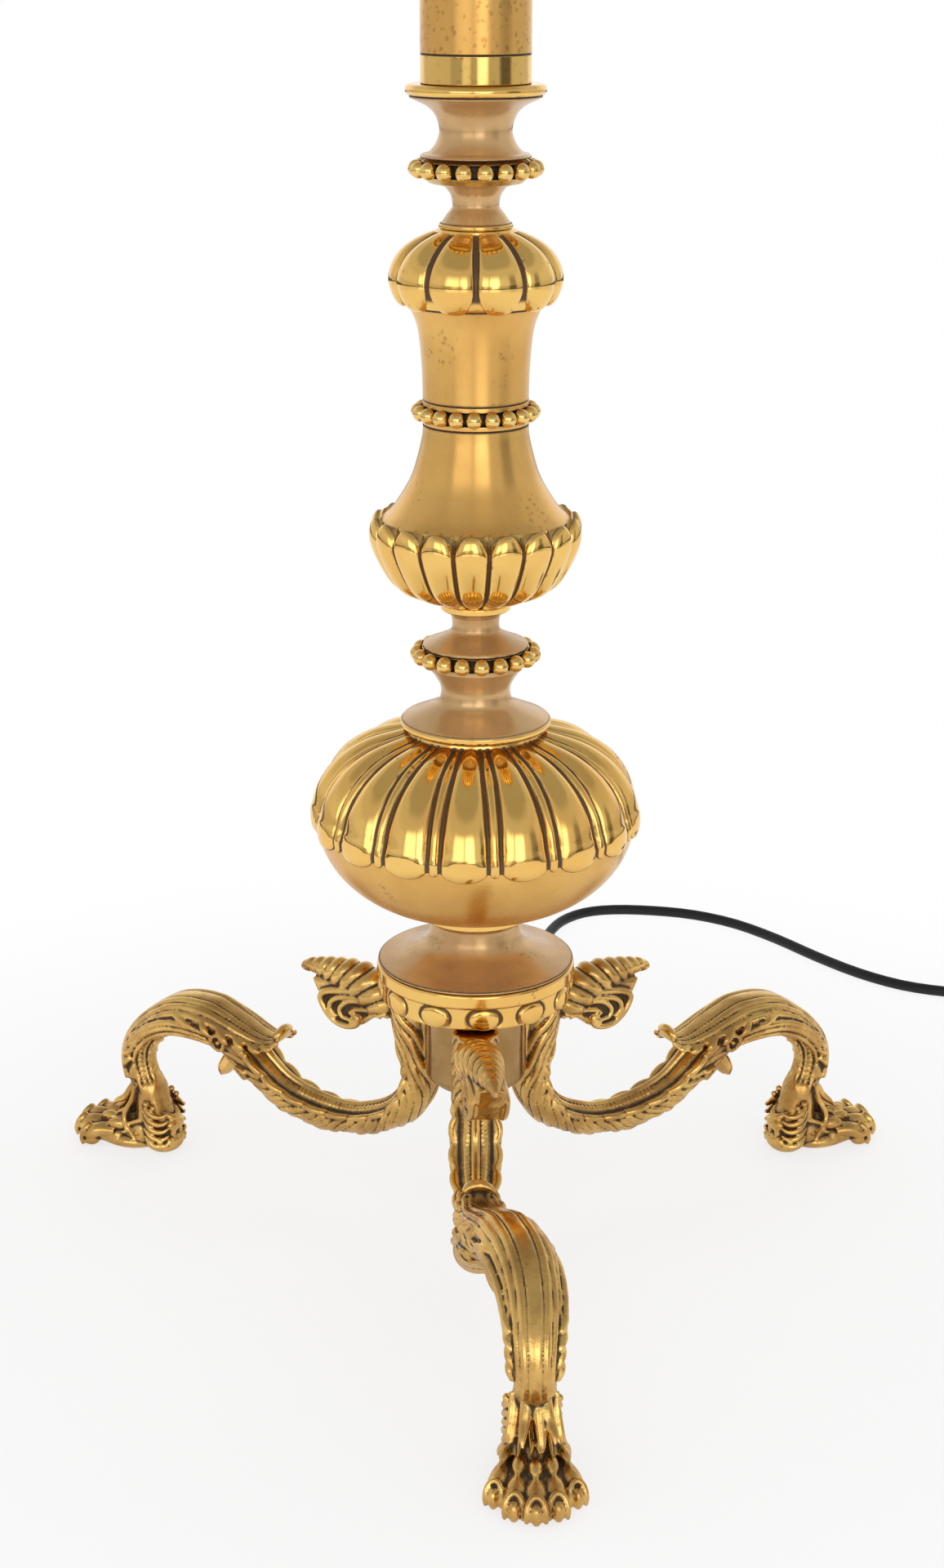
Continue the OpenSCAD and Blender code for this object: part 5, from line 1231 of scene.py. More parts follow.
volute = {  # x and z
    "plate": [(48, 126), (62, 131), (78, 131), (96, 129), (92, 121), (88, 113.6), (83.4, 108), (77.6, 105.6),
              (70.6, 105.3), (63.6, 109.4), (57.3, 114.5), (48, 117)],
    "scrolls": [[(50, 124), (62, 127), (76, 126.6), (89, 122), (87, 114), (81, 108.4), (74, 106.8), (68, 108.6),
                 (66.6, 113), (70.4, 115)],
                [(60, 124.4), (72, 124), (82, 120), (83.8, 114.8), (80, 110.6)],
                [(52, 120), (62, 122.6), (72, 121.2), (77.5, 116.5), (76.5, 112), (72, 111)],
                [(52, 116), (60, 118.4), (68, 117.2), (72, 114.4)],
                [(49, 118.2), (57, 116.2), (63, 112.2)]],
    "scrollHalf": 1.9, "thinner": 0.18, "eye": (69.8, 110.6), "eyeRadii": (2.4, 1.9, 2.4), "half": 7.4, "bevel": 1.4,
}


def voluteShells():
    edge = np.array(volute["plate"], float)
    middle = edge.mean(axis=0)
    half, bevel = volute["half"], volute["bevel"]
    rings = []
    for y, share in ((-half, 0.90), (-half + bevel, 1.0), (half - bevel, 1.0), (half, 0.90)):
        flat = middle + (edge - middle) * share
        rings.append([(p[0], y, p[1]) for p in flat])
    ringShell(rings)
    for side in (-1, 1):
        for k, line in enumerate(volute["scrolls"]):
            wide = volute["scrollHalf"] - volute["thinner"] * k
            ends = (0, len(line) - 1)
            rows = [(x, side * (half + 0.4), z, wide * (0.85 if i in ends else 1)) for i, (x, z) in enumerate(line)]
            cordStroke(rows, 1.15, 10 * len(line), 8, (0, side, 0))
        blob((volute["eye"][0], side * (half + 0.6), volute["eye"][1]), volute["eyeRadii"])


kneeSize = {
    # the leaf: x, z, half width and drop of its free tip, then place on the stem and lift where it lies close
    "tip": [(119.0, 91.4, 5.0, 1.2), (119.6, 88.4, 7.0, 2.0), (123, 86.4, 8.8, 3.4), (129, 86.6, 10.6, 5.6),
            (136, 89.2, 12.2, 7.6), (144, 92.8, 13.4, 9.2), (154, 97.0, 13.9, 10.8)],
    "close": [(12.7, 0.7), (13.5, 0.5), (14.2, 0.0), (15.0, -1.2)],
    "spread": 84, "thick": 2.2, "hatch": 0.024, "hatchAcross": (3.4, 4.0, 6.7, 7.3),
    "hatchAlong": (0.12, 0.16, 0.5, 0.62),
    "roll": [(120.8, -7.2, 88.6, 1.5), (119.4, -4.6, 90.6, 2.6), (118.8, 0, 91.6, 3.1), (119.4, 4.6, 90.6, 2.6),
             (120.8, 7.2, 88.6, 1.5)],
    # place along the leaf and size
    "leaflets": [(0.12, 2.2), (0.20, 2.6), (0.29, 2.9), (0.39, 3.1), (0.50, 3.1), (0.62, 2.8), (0.75, 2.4)],
    # place on the stem, angle, radius and half width of the cord
    "eyes": [(11.7, 100, 4.0, 1.25), (10.3, 122, 3.0, 1.1)],
    "plumes": (92, 108, 126), "curls": 4, "curlFrom": 15.3, "curlStep": 0.52,
    "bud": [(150, 0, 74, 5.0), (153.5, 0, 68, 6.0), (157, 0, 62.5, 6.0), (159.6, 0, 58.6, 4.6), (161, 0, 56.6, 1.6)],
    "sepal": [(150, 5, 70, 1.4), (154, 5.2, 64, 1.6), (158, 4.0, 58.6, 1.4), (160.6, 1.6, 56.2, 0.8)],
}


def leafRows():
    rows = list(kneeSize["tip"])
    for u, lift in kneeSize["close"]:
        x, z, nx, nz, thick, wide = (float(v) for v in legAt(u))
        rows.append((x + nx * (thick + lift), z + nz * (thick + lift), wide + lift, thick))
    return rows


leafDense = np.array(curvePoints(leafRows(), 12))
leafWay = wayAlong(leafDense[:, :2])


def leafPoint(v, c, lift=0.0):  # v along the leaf from 0 to 1, c across it from -1 to 1
    t = np.clip(v, 0, 1) * (len(leafDense) - 1)
    places = np.arange(len(leafDense))
    x, z, wide, drop = (np.interp(t, places, leafDense[:, k]) for k in range(4))
    nx, nz = lineNormal(t, places, leafWay)
    a = np.asarray(c) * math.radians(kneeSize["spread"])
    down = drop * (1 - np.cos(a)) - lift * np.cos(a)
    return np.stack(np.broadcast_arrays(x - nx * down, (wide + lift) * np.sin(a), z - nz * down), -1)


def kneeLeaf():
    k = kneeSize
    vv, cc = np.meshgrid(np.linspace(0, 1, 210), np.linspace(-1, 1, 81), indexing="ij")
    g = np.abs(cc) * k["spread"] * girth
    hatch = ridges(vv, k["hatch"]) * band(g, *k["hatchAcross"]) * band(vv, *k["hatchAlong"])
    ribs = (leafRibs(g) - hatch + 0.1) * smoothStep(0.03, 0.16, vv)
    ringShell(np.concatenate([leafPoint(vv, cc, ribs), leafPoint(vv, cc[:, ::-1], -k["thick"])], 1))
    cordStroke(k["roll"], 0.9, 18)
    for side in (-1, 1):  # scalloped edge: leaflets that turn outwards
        for v, size in k["leaflets"]:
            rows = [(v + 0.09, 0.80, 0.4, 0.8), (v + 0.045, 0.96, 1.1, size * 0.72), (v, 1.08, size * 0.8, size * 0.72),
                    (v - 0.035, 1.15, size * 0.9, 0.6)]
            strokeOn(leafPoint, mirrored(rows, side), 0.75, 14)


def kneeFlank():
    k = kneeSize
    turns = np.radians(np.linspace(0, 345, 18))
    for side in (-1, 1):
        # an eye in the crook of the knee, and the plumes that run out of it
        for u, a, r, half in k["eyes"]:
            ring = [(u + r * 0.078 * math.cos(t), a + r * 5.2 * math.sin(t), 1.5, half) for t in turns]
            strokeOn(onLeg, mirrored(ring, side), 1.2, 34)
            blob(onLeg(u, side * a, 0.6), (1.5, 1.5, 1.5))
        for a in k["plumes"]:
            plume = [(12.0, a + 6, 1.2, 0.7), (13.0, a + 3, 1.9, 1.7), (14.4, a - 4, 1.9, 1.8),
                     (15.8, a - 12, 1.6, 1.6), (17.0, a - 20, 1.0, 0.7)]
            strokeOn(onLeg, mirrored(plume, side), 1.1, 34)
        for n in range(k["curls"]):  # down the outer side of the shin
            u = k["curlFrom"] + k["curlStep"] * n
            curl = [(u - 0.15, 104, 0.6, 0.7), (u - 0.05, 92, 1.5, 1.6), (u + 0.22, 78, 1.9, 1.8),
                    (u + 0.52, 67, 1.4, 0.8)]
            strokeOn(onLeg, mirrored(curl, side), 1.1, 18)
    # the bud, hanging behind the knee
    cordStroke(k["bud"], 0.78, 24, 14, (-0.75, 0, -0.66))
    for side in (-1, 1):
        cordStroke(mirrored(k["sepal"], side), 1.0, 18)


toeWidth = 5.4  # the size of a toe for which its rows are written


def toeShells(tipX, tipY, turn, size):  # rows count from the toe's tip
    s = size / toeWidth

    def placed(rows):
        rows = np.array(rows, float)
        return np.column_stack([turnedAbout(rows[:, :3], math.radians(turn), (tipX, tipY)), rows[:, 3:]])

    def lump(x, z, radii):
        blob(placed([(x, 0, z)])[0], radii, turn)

    for y in (-2.5, 0, 2.5):  # fur over the sinew
        cordStroke(placed([(-50, y * 0.5, 24, 1.2), (-42, y * 0.8, 20.6, 1.5 * s), (-35, y, 18.2, 1.5 * s),
                           (-29, y * 0.8, 15.6, 0.9)]), 0.95, 20)
    lump(-24.5, 14.9, (6.6, 3.3 * s, 3.4 * s))
    cordStroke(placed([(-21, 0, 14.2, 1.3), (-16.5, 0, 13.6, 1.2), (-12, 0, 13.2, 0.9)]), 1.0, 12)
    cordStroke(placed([(-22, 0, 9.8, 3.6 * s), (-16, 0, 10.2, 4.4 * s), (-11, 0, 9.2, 5.0 * s), (-7.4, 0, 7.0, 5.0 * s),
                       (-5.8, 0, 5.4, 4.6 * s)]), 0.9, 18, 14)
    lump(-7.4, 3.3, (5.0, 4.6 * s, 3.3))
    # the horseshoe fold of the toe's end, and the claw set in it
    foot = [(-3.8, 4.0 * s, 1.2, 1.1 * s), (-2.9, 4.2 * s, 4.8, 1.3 * s), (-3.8, 3.9 * s, 8.6, 1.45 * s),
            (-5.4, 2.5 * s, 11.6, 1.5 * s)]
    cordStroke(placed(mirrored(foot, -1) + [(-6.4, 0, 12.8, 1.6 * s)] + foot[::-1]), 1.0, 40, 8, (1, 0, 0.6))
    lump(-3.5, 5.2, (3.1, 2.7 * s, 5.2))


pawSize = {
    "lumps": [((206, 0, 15), (12.2, 11.8, 14)), ((215, 0, 12), (16, 13.5, 11.5)), ((234, 0, 6.6), (16, 17.6, 8.0)),
              ((227, 0, 4.0), (22, 15.6, 6.4)), ((203, 0, 6.5), (11.6, 11.6, 8.0))],
    # share of the paw's half width, turn, size and how far back
    "toes": [(0, 0, 5.6, 0), (-0.46, -7, 5.4, 3.0), (0.46, 7, 5.4, 3.0), (-0.88, -16, 5.0, 12.6),
             (0.88, 16, 5.0, 12.6)],
    # y at the root and at the tip, and the tip's height
    "locks": [(-3.4, -5.6, 23.4), (1.6, 3.0, 20.6), (4.6, 8.6, 25.0)],
    # y at the root and at the tip, the tip's x and z, and half width
    "tufts": [(1.6, 2.2, 233, 19.5, 1.5), (4.4, 7.6, 231, 18.2, 1.6), (7.4, 12.6, 227, 15.4, 1.7),
              (9.2, 15.6, 222, 11.6, 1.6), (10.2, 16.2, 216, 7.8, 1.5)],
    "heelRib": [(209, 10.4, 3, 0.7), (205, 12.0, 0, 1.6), (200.4, 11.8, -2.6, 1.7), (196.2, 9.8, -2.6, 1.4),
                (193.8, 7.6, -0.6, 0.7)],
    "heelRibs": 5, "heelTop": 27, "heelStep": 4.6,
    # x, y, z and radius
    "beads": [(194.6, 3.0, 12.4, 2.1), (194.2, 6.2, 8.2, 2.1), (193.8, 2.6, 6.2, 2.1), (196.2, 8.4, 4.4, 1.9),
              (197.4, 11.2, 9.2, 1.8), (205.6, 11.9, 31.0, 1.9), (201.6, 11.0, 29.0, 1.8)],
    "heel": ((196, 0, 17), (4.8, 7.4, 4.6)),
    "heelBow": [(199, -6, 24, 1.2), (195.4, -3, 22, 1.9), (194.4, 0, 21, 2.2), (195.4, 3, 22, 1.9), (199, 6, 24, 1.2)],
}


def pawShells():
    p, half = pawSize, legSize["pawWidth"] / 2
    for centre, radii in p["lumps"]:
        blob(centre, radii)
    for share, turn, size, back in p["toes"]:
        toeShells(legSize["reach"] - back, share * half, turn, size)
    for y0, y1, tipZ in p["locks"]:  # they hang from under the knee's leaf
        cordStroke([(213.5, y0, 42, 2.6), (219.5, y0 * 1.1, 36, 3.0), (223.5, (y0 + y1) / 2, 29.6, 2.8),
                    (228.4, y1, tipZ + 1.6, 2.0), (231.5, y1, tipZ - 2, 0.7)], 0.8, 26, 10, (1, 0, 0.8))
    for side in (-1, 1):
        for y0, y1, x, z, width in p["tufts"]:  # they run from the ankle over the paw
            rows = [(214.5, y0, 40, 0.8), (216.5, y0 + 0.4, 31, width),
                    (221, y0 * 0.6 + y1 * 0.4, 24 - (19.5 - z) * 0.4, width),
                    (x - 4, y1 - 0.8, z + 1.4, width * 0.8), (x, y1, z, 0.5)]
            cordStroke(mirrored(rows, side), 1.0, 22, 8, (1, 0, 1))
        for k in range(p["heelRibs"]):
            z = p["heelTop"] - p["heelStep"] * k
            rows = [(x, side * y, z + rise, width) for x, y, rise, width in p["heelRib"]]
            cordStroke(rows, 1.0, 18, 8, (0, side, 0.3))
        for x, y, z, r in p["beads"]:
            blob((x, side * y, z), (r, r, r), 0, 8, 12)
    blob(*p["heel"])
    cordStroke(p["heelBow"], 1.0, 16)


def fusedMesh():  # all the shells as one skin
    verts, faces, base = [], [], 0
    for pts, polys in shells:
        verts.append(pts)
        faces += [[base + int(i) for i in f] for f in polys]
        base += len(pts)
    mesh = bpy.data.meshes.new("legCarving")
    mesh.from_pydata(np.vstack(verts).tolist(), [], faces)
    host = makeObject("legCarving", mesh)
    fuse = host.modifiers.new("fuse", "REMESH")
    fuse.mode = "VOXEL"
    fuse.voxel_size = legSize["voxel"]
    return evaluatedMesh(host)


# a hollow's depth is how far its skin moves out when the leg is relaxed for so many passes
relaxing = {"passes": 110, "share": 0.9, "first": 0.35, "fineAt": 6, "midAt": 32, "broadAt": 109}


def legPatinaOf(mesh):  # evens the skin a little, then finds its hollows: black in fine grooves, brown in wide ones
    count = len(mesh.vertices)
    edges = np.empty(len(mesh.edges) * 2, int)
    mesh.edges.foreach_get("vertices", edges)
    a, b = edges[::2], edges[1::2]
    ends, others = np.concatenate([a, b]), np.concatenate([b, a])
    degree = np.bincount(ends, minlength=count)[:, None]

    def relaxed(points, share):
        near = np.stack([np.bincount(ends, weights=points[others, k], minlength=count) for k in range(3)], 1) / degree
        return points + (near - points) * share

    place = relaxed(meshPlaces(mesh), relaxing["first"])
    normal = np.empty(count * 3)
    mesh.vertices.foreach_get("normal", normal)
    normal = normal.reshape(-1, 3)
    soft, depths = place.copy(), {}
    for k in range(relaxing["passes"]):
        soft = relaxed(soft, relaxing["share"])
        depths[k] = np.einsum("ij,ij->i", soft - place, normal) if k in relaxing.values() else None
    fineDepth, midDepth, broadDepth = (depths[relaxing[key]] for key in ("fineAt", "midAt", "broadAt"))
    fine = 0.95 * smoothStep(0.02, 0.55, 1.5 * fineDepth + 0.35 * midDepth)
    broad = 0.56 * smoothStep(-0.38, 0.5, 0.6 * midDepth + 0.3 * broadDepth)
    mesh.vertices.foreach_set("co", place.ravel())
    mesh.attributes.new(dirtAndShadeName, "FLOAT", "POINT").data.foreach_set("value", np.maximum(fine, broad))


def fusedLeg():
    for build in (stemShell, rootBlock, hornShell, voluteShells, kneeLeaf, kneeFlank, pawShells):
        build()
    mesh = fusedMesh()
    legPatinaOf(mesh)
    # thinned to the count that one piece may have, with the patina carried over
    host = makeObject("legCarving", mesh)
    thin = host.modifiers.new("thin", "DECIMATE")
    thin.ratio = min(1, legSize["triangles"] / (2 * len(mesh.polygons)))
    thinned = evaluatedMesh(host)
    patina = np.empty(len(thinned.vertices))
    thinned.attributes[dirtAndShadeName].data.foreach_get("value", patina)
    return meshPlaces(thinned), patina, [list(p.vertices) for p in thinned.polygons]


legVerts, legPatina, legFaces = fusedLeg()
print("leg carved, faces:", len(legFaces))


def bentLeg(points, bend):  # the front leg is bent sideways, as the real one is, and its horn a little less
    x, y, z = points.T
    sideways = bend * smoothStep(0, 1, (x - 105) / 110)
    horn = (z > 98) & (x < 112)
    sideways += np.where(horn, 0.36 * bend * np.maximum(x - hubDrum["lip"], 0) / 55, 0)
    return np.stack([x, y + sideways, z], 1)


def placeLeg(name, node, turn, bend):
    pts = bentLeg(legVerts, bend)
    pts[:, 2] = np.maximum(pts[:, 2], 0)
    pts[:, 0] = np.clip(pts[:, 0], legSize["seat"], legSize["reach"])
    under = heights["drum"] - 0.6
    inDrum = (pts[:, 2] > under) & (np.hypot(pts[:, 0], pts[:, 1]) < hubDrum["lip"] + 0.5)
    pts[inDrum, 2] = under
    mesh = meshFrom(name, turnedAbout(pts, math.radians(turn)), legFaces, legPatina)
    addPiece(name, mesh, "cast_leg_brass", node)


placeLeg("legFront", "leg_front", -90, legSize["bend"])
placeLeg("legRight", "leg_right", 30, 0)
placeLeg("legLeft", "leg_left", 150, 0)
print("legs placed")


# lampholder
holder = {"radius": 20, "wall": 1.4, "entry": 9.55, "housingZ": 1334.1, "skirtZ": 1352.1, "top": 1380.1, "skirt": 19,
          "thread": 20, "shadeRing": 26, "shadeRingHeight": 5, "shadeRingSeat": 1, "socket": 13.3, "socketWall": 0.8,
          "floor": 4}


def holderCap():
    h, z = holder, heights["holder"]
    r, entry, joint = h["radius"], h["entry"], h["housingZ"]
    outer = arcPoints((entry, joint - 1), r - entry, 14, -80, 0, 14)
    inner = arcPoints((entry, joint - 1), r - h["wall"] - entry, 12.4, 0, -78, 10)
    loop = [(rodHole, z), (entry, z), (entry, z + 4)] + outer + [(r, joint), (r - h["wall"], joint)] + inner
    revolvedPiece("holderCap", "holder_cap", loop + [(rodHole, z + 8.5)], "holder_brass", [(r, joint, 0.5, 0.9)],
                  segments=144)


def shadeRing():  # the knurled ring that clamps a shade, ribs cut round its rim
    h = holder
    low, r, bore = h["skirtZ"] + h["shadeRingSeat"], h["shadeRing"], h["thread"] + 0.1
    top = low + h["shadeRingHeight"]
    loop = np.array(softened([(bore, low), (r - 1, low), (r, low + 1), (r, top - 1), (r - 1, top), (bore, top)], 0.5))
    knurl = 0.5 * np.abs(np.sin(circleAngles(720) * 36)) ** 0.7
    onRim = smoothStep(r - 1.4, r - 0.1, loop[:, :1])
    radius = loop[:, :1] - onRim * (0.5 - knurl[None, :])
    level = np.repeat(loop[:, 1:], len(knurl), 1)
    dirtAndShade = onRim * (1 - knurl[None, :] * 2) * 0.8
    addPiece("shadeRing", wrappedMesh("shadeRing", radius, level, dirtAndShade), "holder_brass", "shade_ring")


def threadedSleeve(name, node, outer, bore, low, high, pitch, depth, footRadius=0, footTop=0):
    # a sleeve with a rolled screw thread round its foot, or all the way up inside
    z = np.linspace(low, high, int((high - low) / 0.32) + 1)[:, None]
    wave = 0.5 + 0.5 * np.sin(2 * math.pi * (z / pitch) - circleAngles(180)[None, :])
    outerRadius = np.full(wave.shape, float(outer))
    innerRadius = np.full(wave.shape, float(bore))
    if footRadius:
        foot = smoothStep(footTop + 0.25, footTop - 0.25, z)
        outerRadius += foot * (footRadius - outer - depth * wave * smoothStep(low, low + 0.6, z))
    else:
        innerRadius += depth * wave * band(z, low, low + pitch * 0.7, high - pitch * 0.5, high)
    radius = np.vstack([outerRadius, innerRadius[::-1]])
    level = np.vstack([z, z[::-1]]) + np.zeros_like(radius)
    addPiece(name, wrappedMesh(name, radius, level, np.zeros_like(radius)), "holder_brass", node)


pushBarSize = {"z": 1343.1, "bar": 2.5, "knob": 4.0, "left": -21.0, "right": 27.0, "length": 5}


def pushBar():
    z, bar, knob, left, right, length = pushBarSize.values()
    # each knob from its outer face to the bar: radius, and distance from the inner face
    end = [(0.02, length), (knob - 1.2, length), (knob - 0.3, length - 0.5), (knob, length - 1.5), (knob, 0.4),
           (knob - 0.4, 0)]
    outline = [(r, left - x) for r, x in end] + [(bar, left), (bar, right)] + [(r, right + x) for r, x in reversed(end)]
    revolvedPiece("pushBar", "switch_bar", outline, "black_plastic", radius=0.3, segments=64, body="push_bar",
                  axis=lambda v: np.stack([v[:, 2], v[:, 1], v[:, 0] + z], 1))


holderCap()
shadeRing()
threadedSleeve("holderSkirt", "holder_skirt", holder["skirt"], holder["skirt"] - holder["wall"], holder["skirtZ"],
               holder["top"], 1.5, 0.5, holder["thread"], holder["skirtZ"] + 6.2)
threadedSleeve("socketShell", "socket_shell", holder["socket"] + holder["socketWall"], holder["socket"],
               holder["skirtZ"] + holder["floor"], holder["top"] - 3, 3.6, 0.55)
pushBar()
print("lampholder made")


# bush, tie and plug on the flex
bush = {"radius": 7.0, "flange": 9.2, "flangeHeight": 2.4, "length": 26, "seat": 24.5, "bore": 3.5, "inside": 6.5,
        "grooves": 6, "pitch": 3.7}


def outletBush():
    r, flange, thick, length, seat, bore, inside, grooves, pitch = bush.values()
    z, top = flexRoute["bushEnd"][2], thick + length
    start, end = r - 0.6, flexRoute["diameter"] / 2 + 1.3
    outline = [(r, -inside), (r, 0), (flange, 0), (flange, thick - 0.8), (flange - 0.8, thick), (start, thick + 0.3)]
    for k in range(grooves):  # they let the taper bend
        a = thick + 3 + k * pitch
        side = start + (end - start) * (a - thick) / length
        outline += [(side, a), (side - 0.9, a + 0.5), (side - 1.0, a + 1.3), (side - 0.3, a + 1.9)]
    loop = [(bore, -inside)] + outline + [(end, top), (bore, top)]
    return revolvedPiece("outletBush", "outlet_bush", loop, "black_rubber", radius=0.35, segments=72,
                         axis=lambda v: np.stack([v[:, 0], v[:, 2] + seat, z - v[:, 1]], 1))


tieSize = {"turn": 175, "width": 10, "wall": 1.2, "room": 0.4, "low": 0.8, "corner": 2.4, "slack": 0.6,
           "halfThick": 0.42}


def coilTie():  # a flat strap round the turns of the coil
    f, t = flexRoute, tieSize
    r, w, c = f["diameter"] / 2, t["wall"], t["corner"]
    x0 = f["innerRadius"] - r - t["room"] - f["dip"] - w / 2
    x1 = coilOuter + r + t["room"] + t["slack"] + w / 2
    z0, z1 = t["low"] / 2 + 0.1, f["lowZ"] + f["layerStep"] + r + t["room"] + w / 2
    corners = ((x1 - c, z1 - c), (x0 + c, z1 - c), (x0 + c, z0 + c), (x1 - c, z0 + c))
    line = np.array([p for k, centre in enumerate(corners) for p in arcPoints(centre, c, c, 90 * k, 90 * k + 90, 6)])
    way = np.roll(line, -1, 0) - np.roll(line, 1, 0)
    way /= np.linalg.norm(way, axis=1)[:, None]
    normal = np.stack([way[:, 1], -way[:, 0]], 1)
    half, thick = t["width"] / 2, t["halfThick"]
    section = [(-half + 0.3, -thick), (half - 0.3, -thick), (half, -0.2), (half, 0.2), (half - 0.3, thick),
               (-half + 0.3, thick), (-half, 0.2), (-half, -0.2)]
    strap = [(p[0] + n[0] * s[1], s[0], p[1] + n[1] * s[1]) for p, n in zip(line, normal) for s in section]
    world = turnedAbout(strap, math.radians(t["turn"]), f["coilCentre"])
    world[:, 2] = np.maximum(world[:, 2], 0)
    mesh = meshFrom("coilTie", world, gridFaces(len(line), len(section), True, True))
    return addPiece("coilTie", mesh, "black_rubber", "coil_tie")


plugSize = {"width": 50, "length": 50, "height": 24, "split": 12, "corner": 9, "back": 12, "waist": 0.42}


def plugOutline(shrink, steps=5):
    p = plugSize
    w, back, c, length = p["width"] / 2 - shrink, p["back"], p["corner"], p["length"]
    waist, front = length * p["waist"], length - shrink - c
    pts = [(-back + shrink, shrink), (back - shrink, shrink)]
    pts += arcPoints((w - c, waist), c, c, -30, 0, steps) + arcPoints((w - c, front), c, c, 0, 90, steps * 2)
    return (pts + arcPoints((-w + c, front), c, c, 90, 180, steps * 2)
            + arcPoints((-w + c, waist), c, c, 180, 210, steps))


def plugShell(name, node, layers):  # layers of height and of how far the outline has shrunk there
    rings = np.array([[(x, y, z) for x, y in plugOutline(shrink)] for z, shrink in layers])
    turn = math.atan2(plugWay[1], plugWay[0]) - math.pi / 2
    mesh = meshFrom(name, turnedAbout(rings.reshape(-1, 3), turn, plugPlace), cappedFaces(*rings.shape[:2]))
    for poly in mesh.polygons:
        if len(poly.vertices) > 4:  # the big flat faces stay flat beside their rounded edges
            poly.use_smooth = False
    return addPiece(name, mesh, "black_plastic", node)


def plugShells():
    s, h = plugSize["split"], plugSize["height"]
    body = [(s + 0.15, 0.7), (s + 0.2, 0.35), (s + 0.6, 0.05), (s + 1.2, 0), (h - 2.4, 0.2), (h - 1.2, 0.7),
            (h - 0.4, 1.5), (h, 2.6)]
    cover = [(0, 2.2), (0.35, 1.3), (1.1, 0.5), (2.2, 0.1), (4, 0), (s - 1.2, 0), (s - 0.6, 0.05), (s - 0.2, 0.35),
             (s - 0.05, 0.7)]
    return [plugShell("plugBody", "plug_body", body), plugShell("plugCover", "plug_cover", cover)]


fittings = [outletBush(), coilTie()] + plugShells() + [frame["nodes"]["plug_pins"], frame["nodes"]["plug_screw"]]
print("flex fittings made")


# finishes of the nodes that stay as the CAD made them
slotOf = {part["node"]: part["material_slot"] for part in frame["record"]["subparts"]}
for node, obj in frame["nodes"].items():
    finish = mats[slotOf[node]]
    obj.data.materials.clear()
    obj.data.materials.append(finish)
    for poly in obj.data.polygons:
        poly.material_index = 0



# floor, world and lights
# the floor shows pure white beyond "far" metres; nearer than that it keeps some of the lamp's shadow
stageSize = {"floor": 1.5, "near": 0.25, "far": 0.6, "veil": 0.74, "mirrorNear": 0.05, "mirrorFar": 0.5,
             "mirrored": 0.85}


def floorMaterial():
    s = stageSize
    material, tree, shader = newMaterial("studioFloor", (0.90, 0.90, 0.90), 0.0, 0.9)
    reach = addNode(tree, "ShaderNodeVectorMath", {0: objectPlace(tree)}, operation="LENGTH").outputs["Value"]
    fade = rangeNode(tree, reach, s["near"], s["far"], s["veil"], 1.0)
    path = addNode(tree, "ShaderNodeLightPath")
    mirrored = mathNode(tree, "MAXIMUM", path.outputs["Is Glossy Ray"], path.outputs["Is Transmission Ray"])
    mirrored = mathNode(tree, "MULTIPLY", rangeNode(tree, reach, s["mirrorNear"], s["mirrorFar"]),
                        mathNode(tree, "MULTIPLY", mirrored, s["mirrored"]))
    share = mathNode(tree, "MAXIMUM", mathNode(tree, "MULTIPLY", fade, path.outputs["Is Camera Ray"]), mirrored)
    glow = addNode(tree, "ShaderNodeEmission", {"Color": (1, 1, 1, 1), "Strength": 1.0})
    mix = addNode(tree, "ShaderNodeMixShader", {0: share, 1: shader.outputs[0], 2: glow.outputs[0]})
    tree.links.new(mix.outputs[0], tree.nodes["Material Output"].inputs["Surface"])
    return material


def buildFloor():
    size, sides = stageSize["floor"], 72
    verts = [(size * math.cos(a), size * math.sin(a), -0.0001) for a in circleAngles(sides)]
    mesh = bpy.data.meshes.new("studioFloor")
    mesh.from_pydata(verts, [], [list(range(sides))])
    mesh.materials.append(floorMaterial())
    makeObject("studioFloor", mesh)


# what the brass mirrors: degrees round the lamp, 0 towards the camera and + to its right, with the brightness there
# the bands give the degrees above the horizon between which one brightness passes into the next
room = {
    "peak": 2.5, "floor": 0.95, "skirting": 0.08, "wall": 0.62, "ceiling": 0.42, "diffuse": 0.80, "floorGlow": 0.45,
    "eyeLevel": [(-180, 1.0), (-140, 1.0), (-130, 0.65), (-56, 0.60), (-51, 0.45), (-31, 0.45), (-25, 0.90),
                 (-13, 0.90),
                 (-9, 0.50), (1, 0.50), (7, 2.0), (21, 2.0), (27, 0.55), (47, 0.55), (54, 0.13), (73, 0.13), (80, 0.6),
                 (130, 0.65), (141, 1.0)],
    "windows": [(-180, 1.0), (-140, 1.0), (-120, 0.72), (-62, 0.78), (-46, 0.70), (-39, 2.0), (-9, 1.9), (-6, 0.8),
                (-4, 0.8), (-1, 2.4), (23, 2.4), (29, 0.8), (50, 0.75), (57, 0.32), (72, 0.32), (80, 0.70), (118, 0.72),
                (141, 1.0)],
    "windowBand": (2.5, 6.0), "wallBand": (17.0, 33.0), "ceilingBand": (40.0, 54.0), "skirtingBand": (-5.6, -4.4),
    "floorBand": (-9.0, -7.8), "farFloorBand": (-40.0, -12.0), "ragged": 5.0,
}


def grey(level):
    return (level / room["peak"],) * 3 + (1,)


def roomRamp(tree, share, stops):
    walls = addNode(tree, "ShaderNodeValToRGB", {"Fac": share})
    ramp = walls.color_ramp
    while len(ramp.elements) < len(stops):
        ramp.elements.new(0.5)
    for element, (turn, level) in zip(ramp.elements, stops):
        element.position = turn / 360 + 0.5
        element.color = grey(level)
    return walls.outputs["Color"]


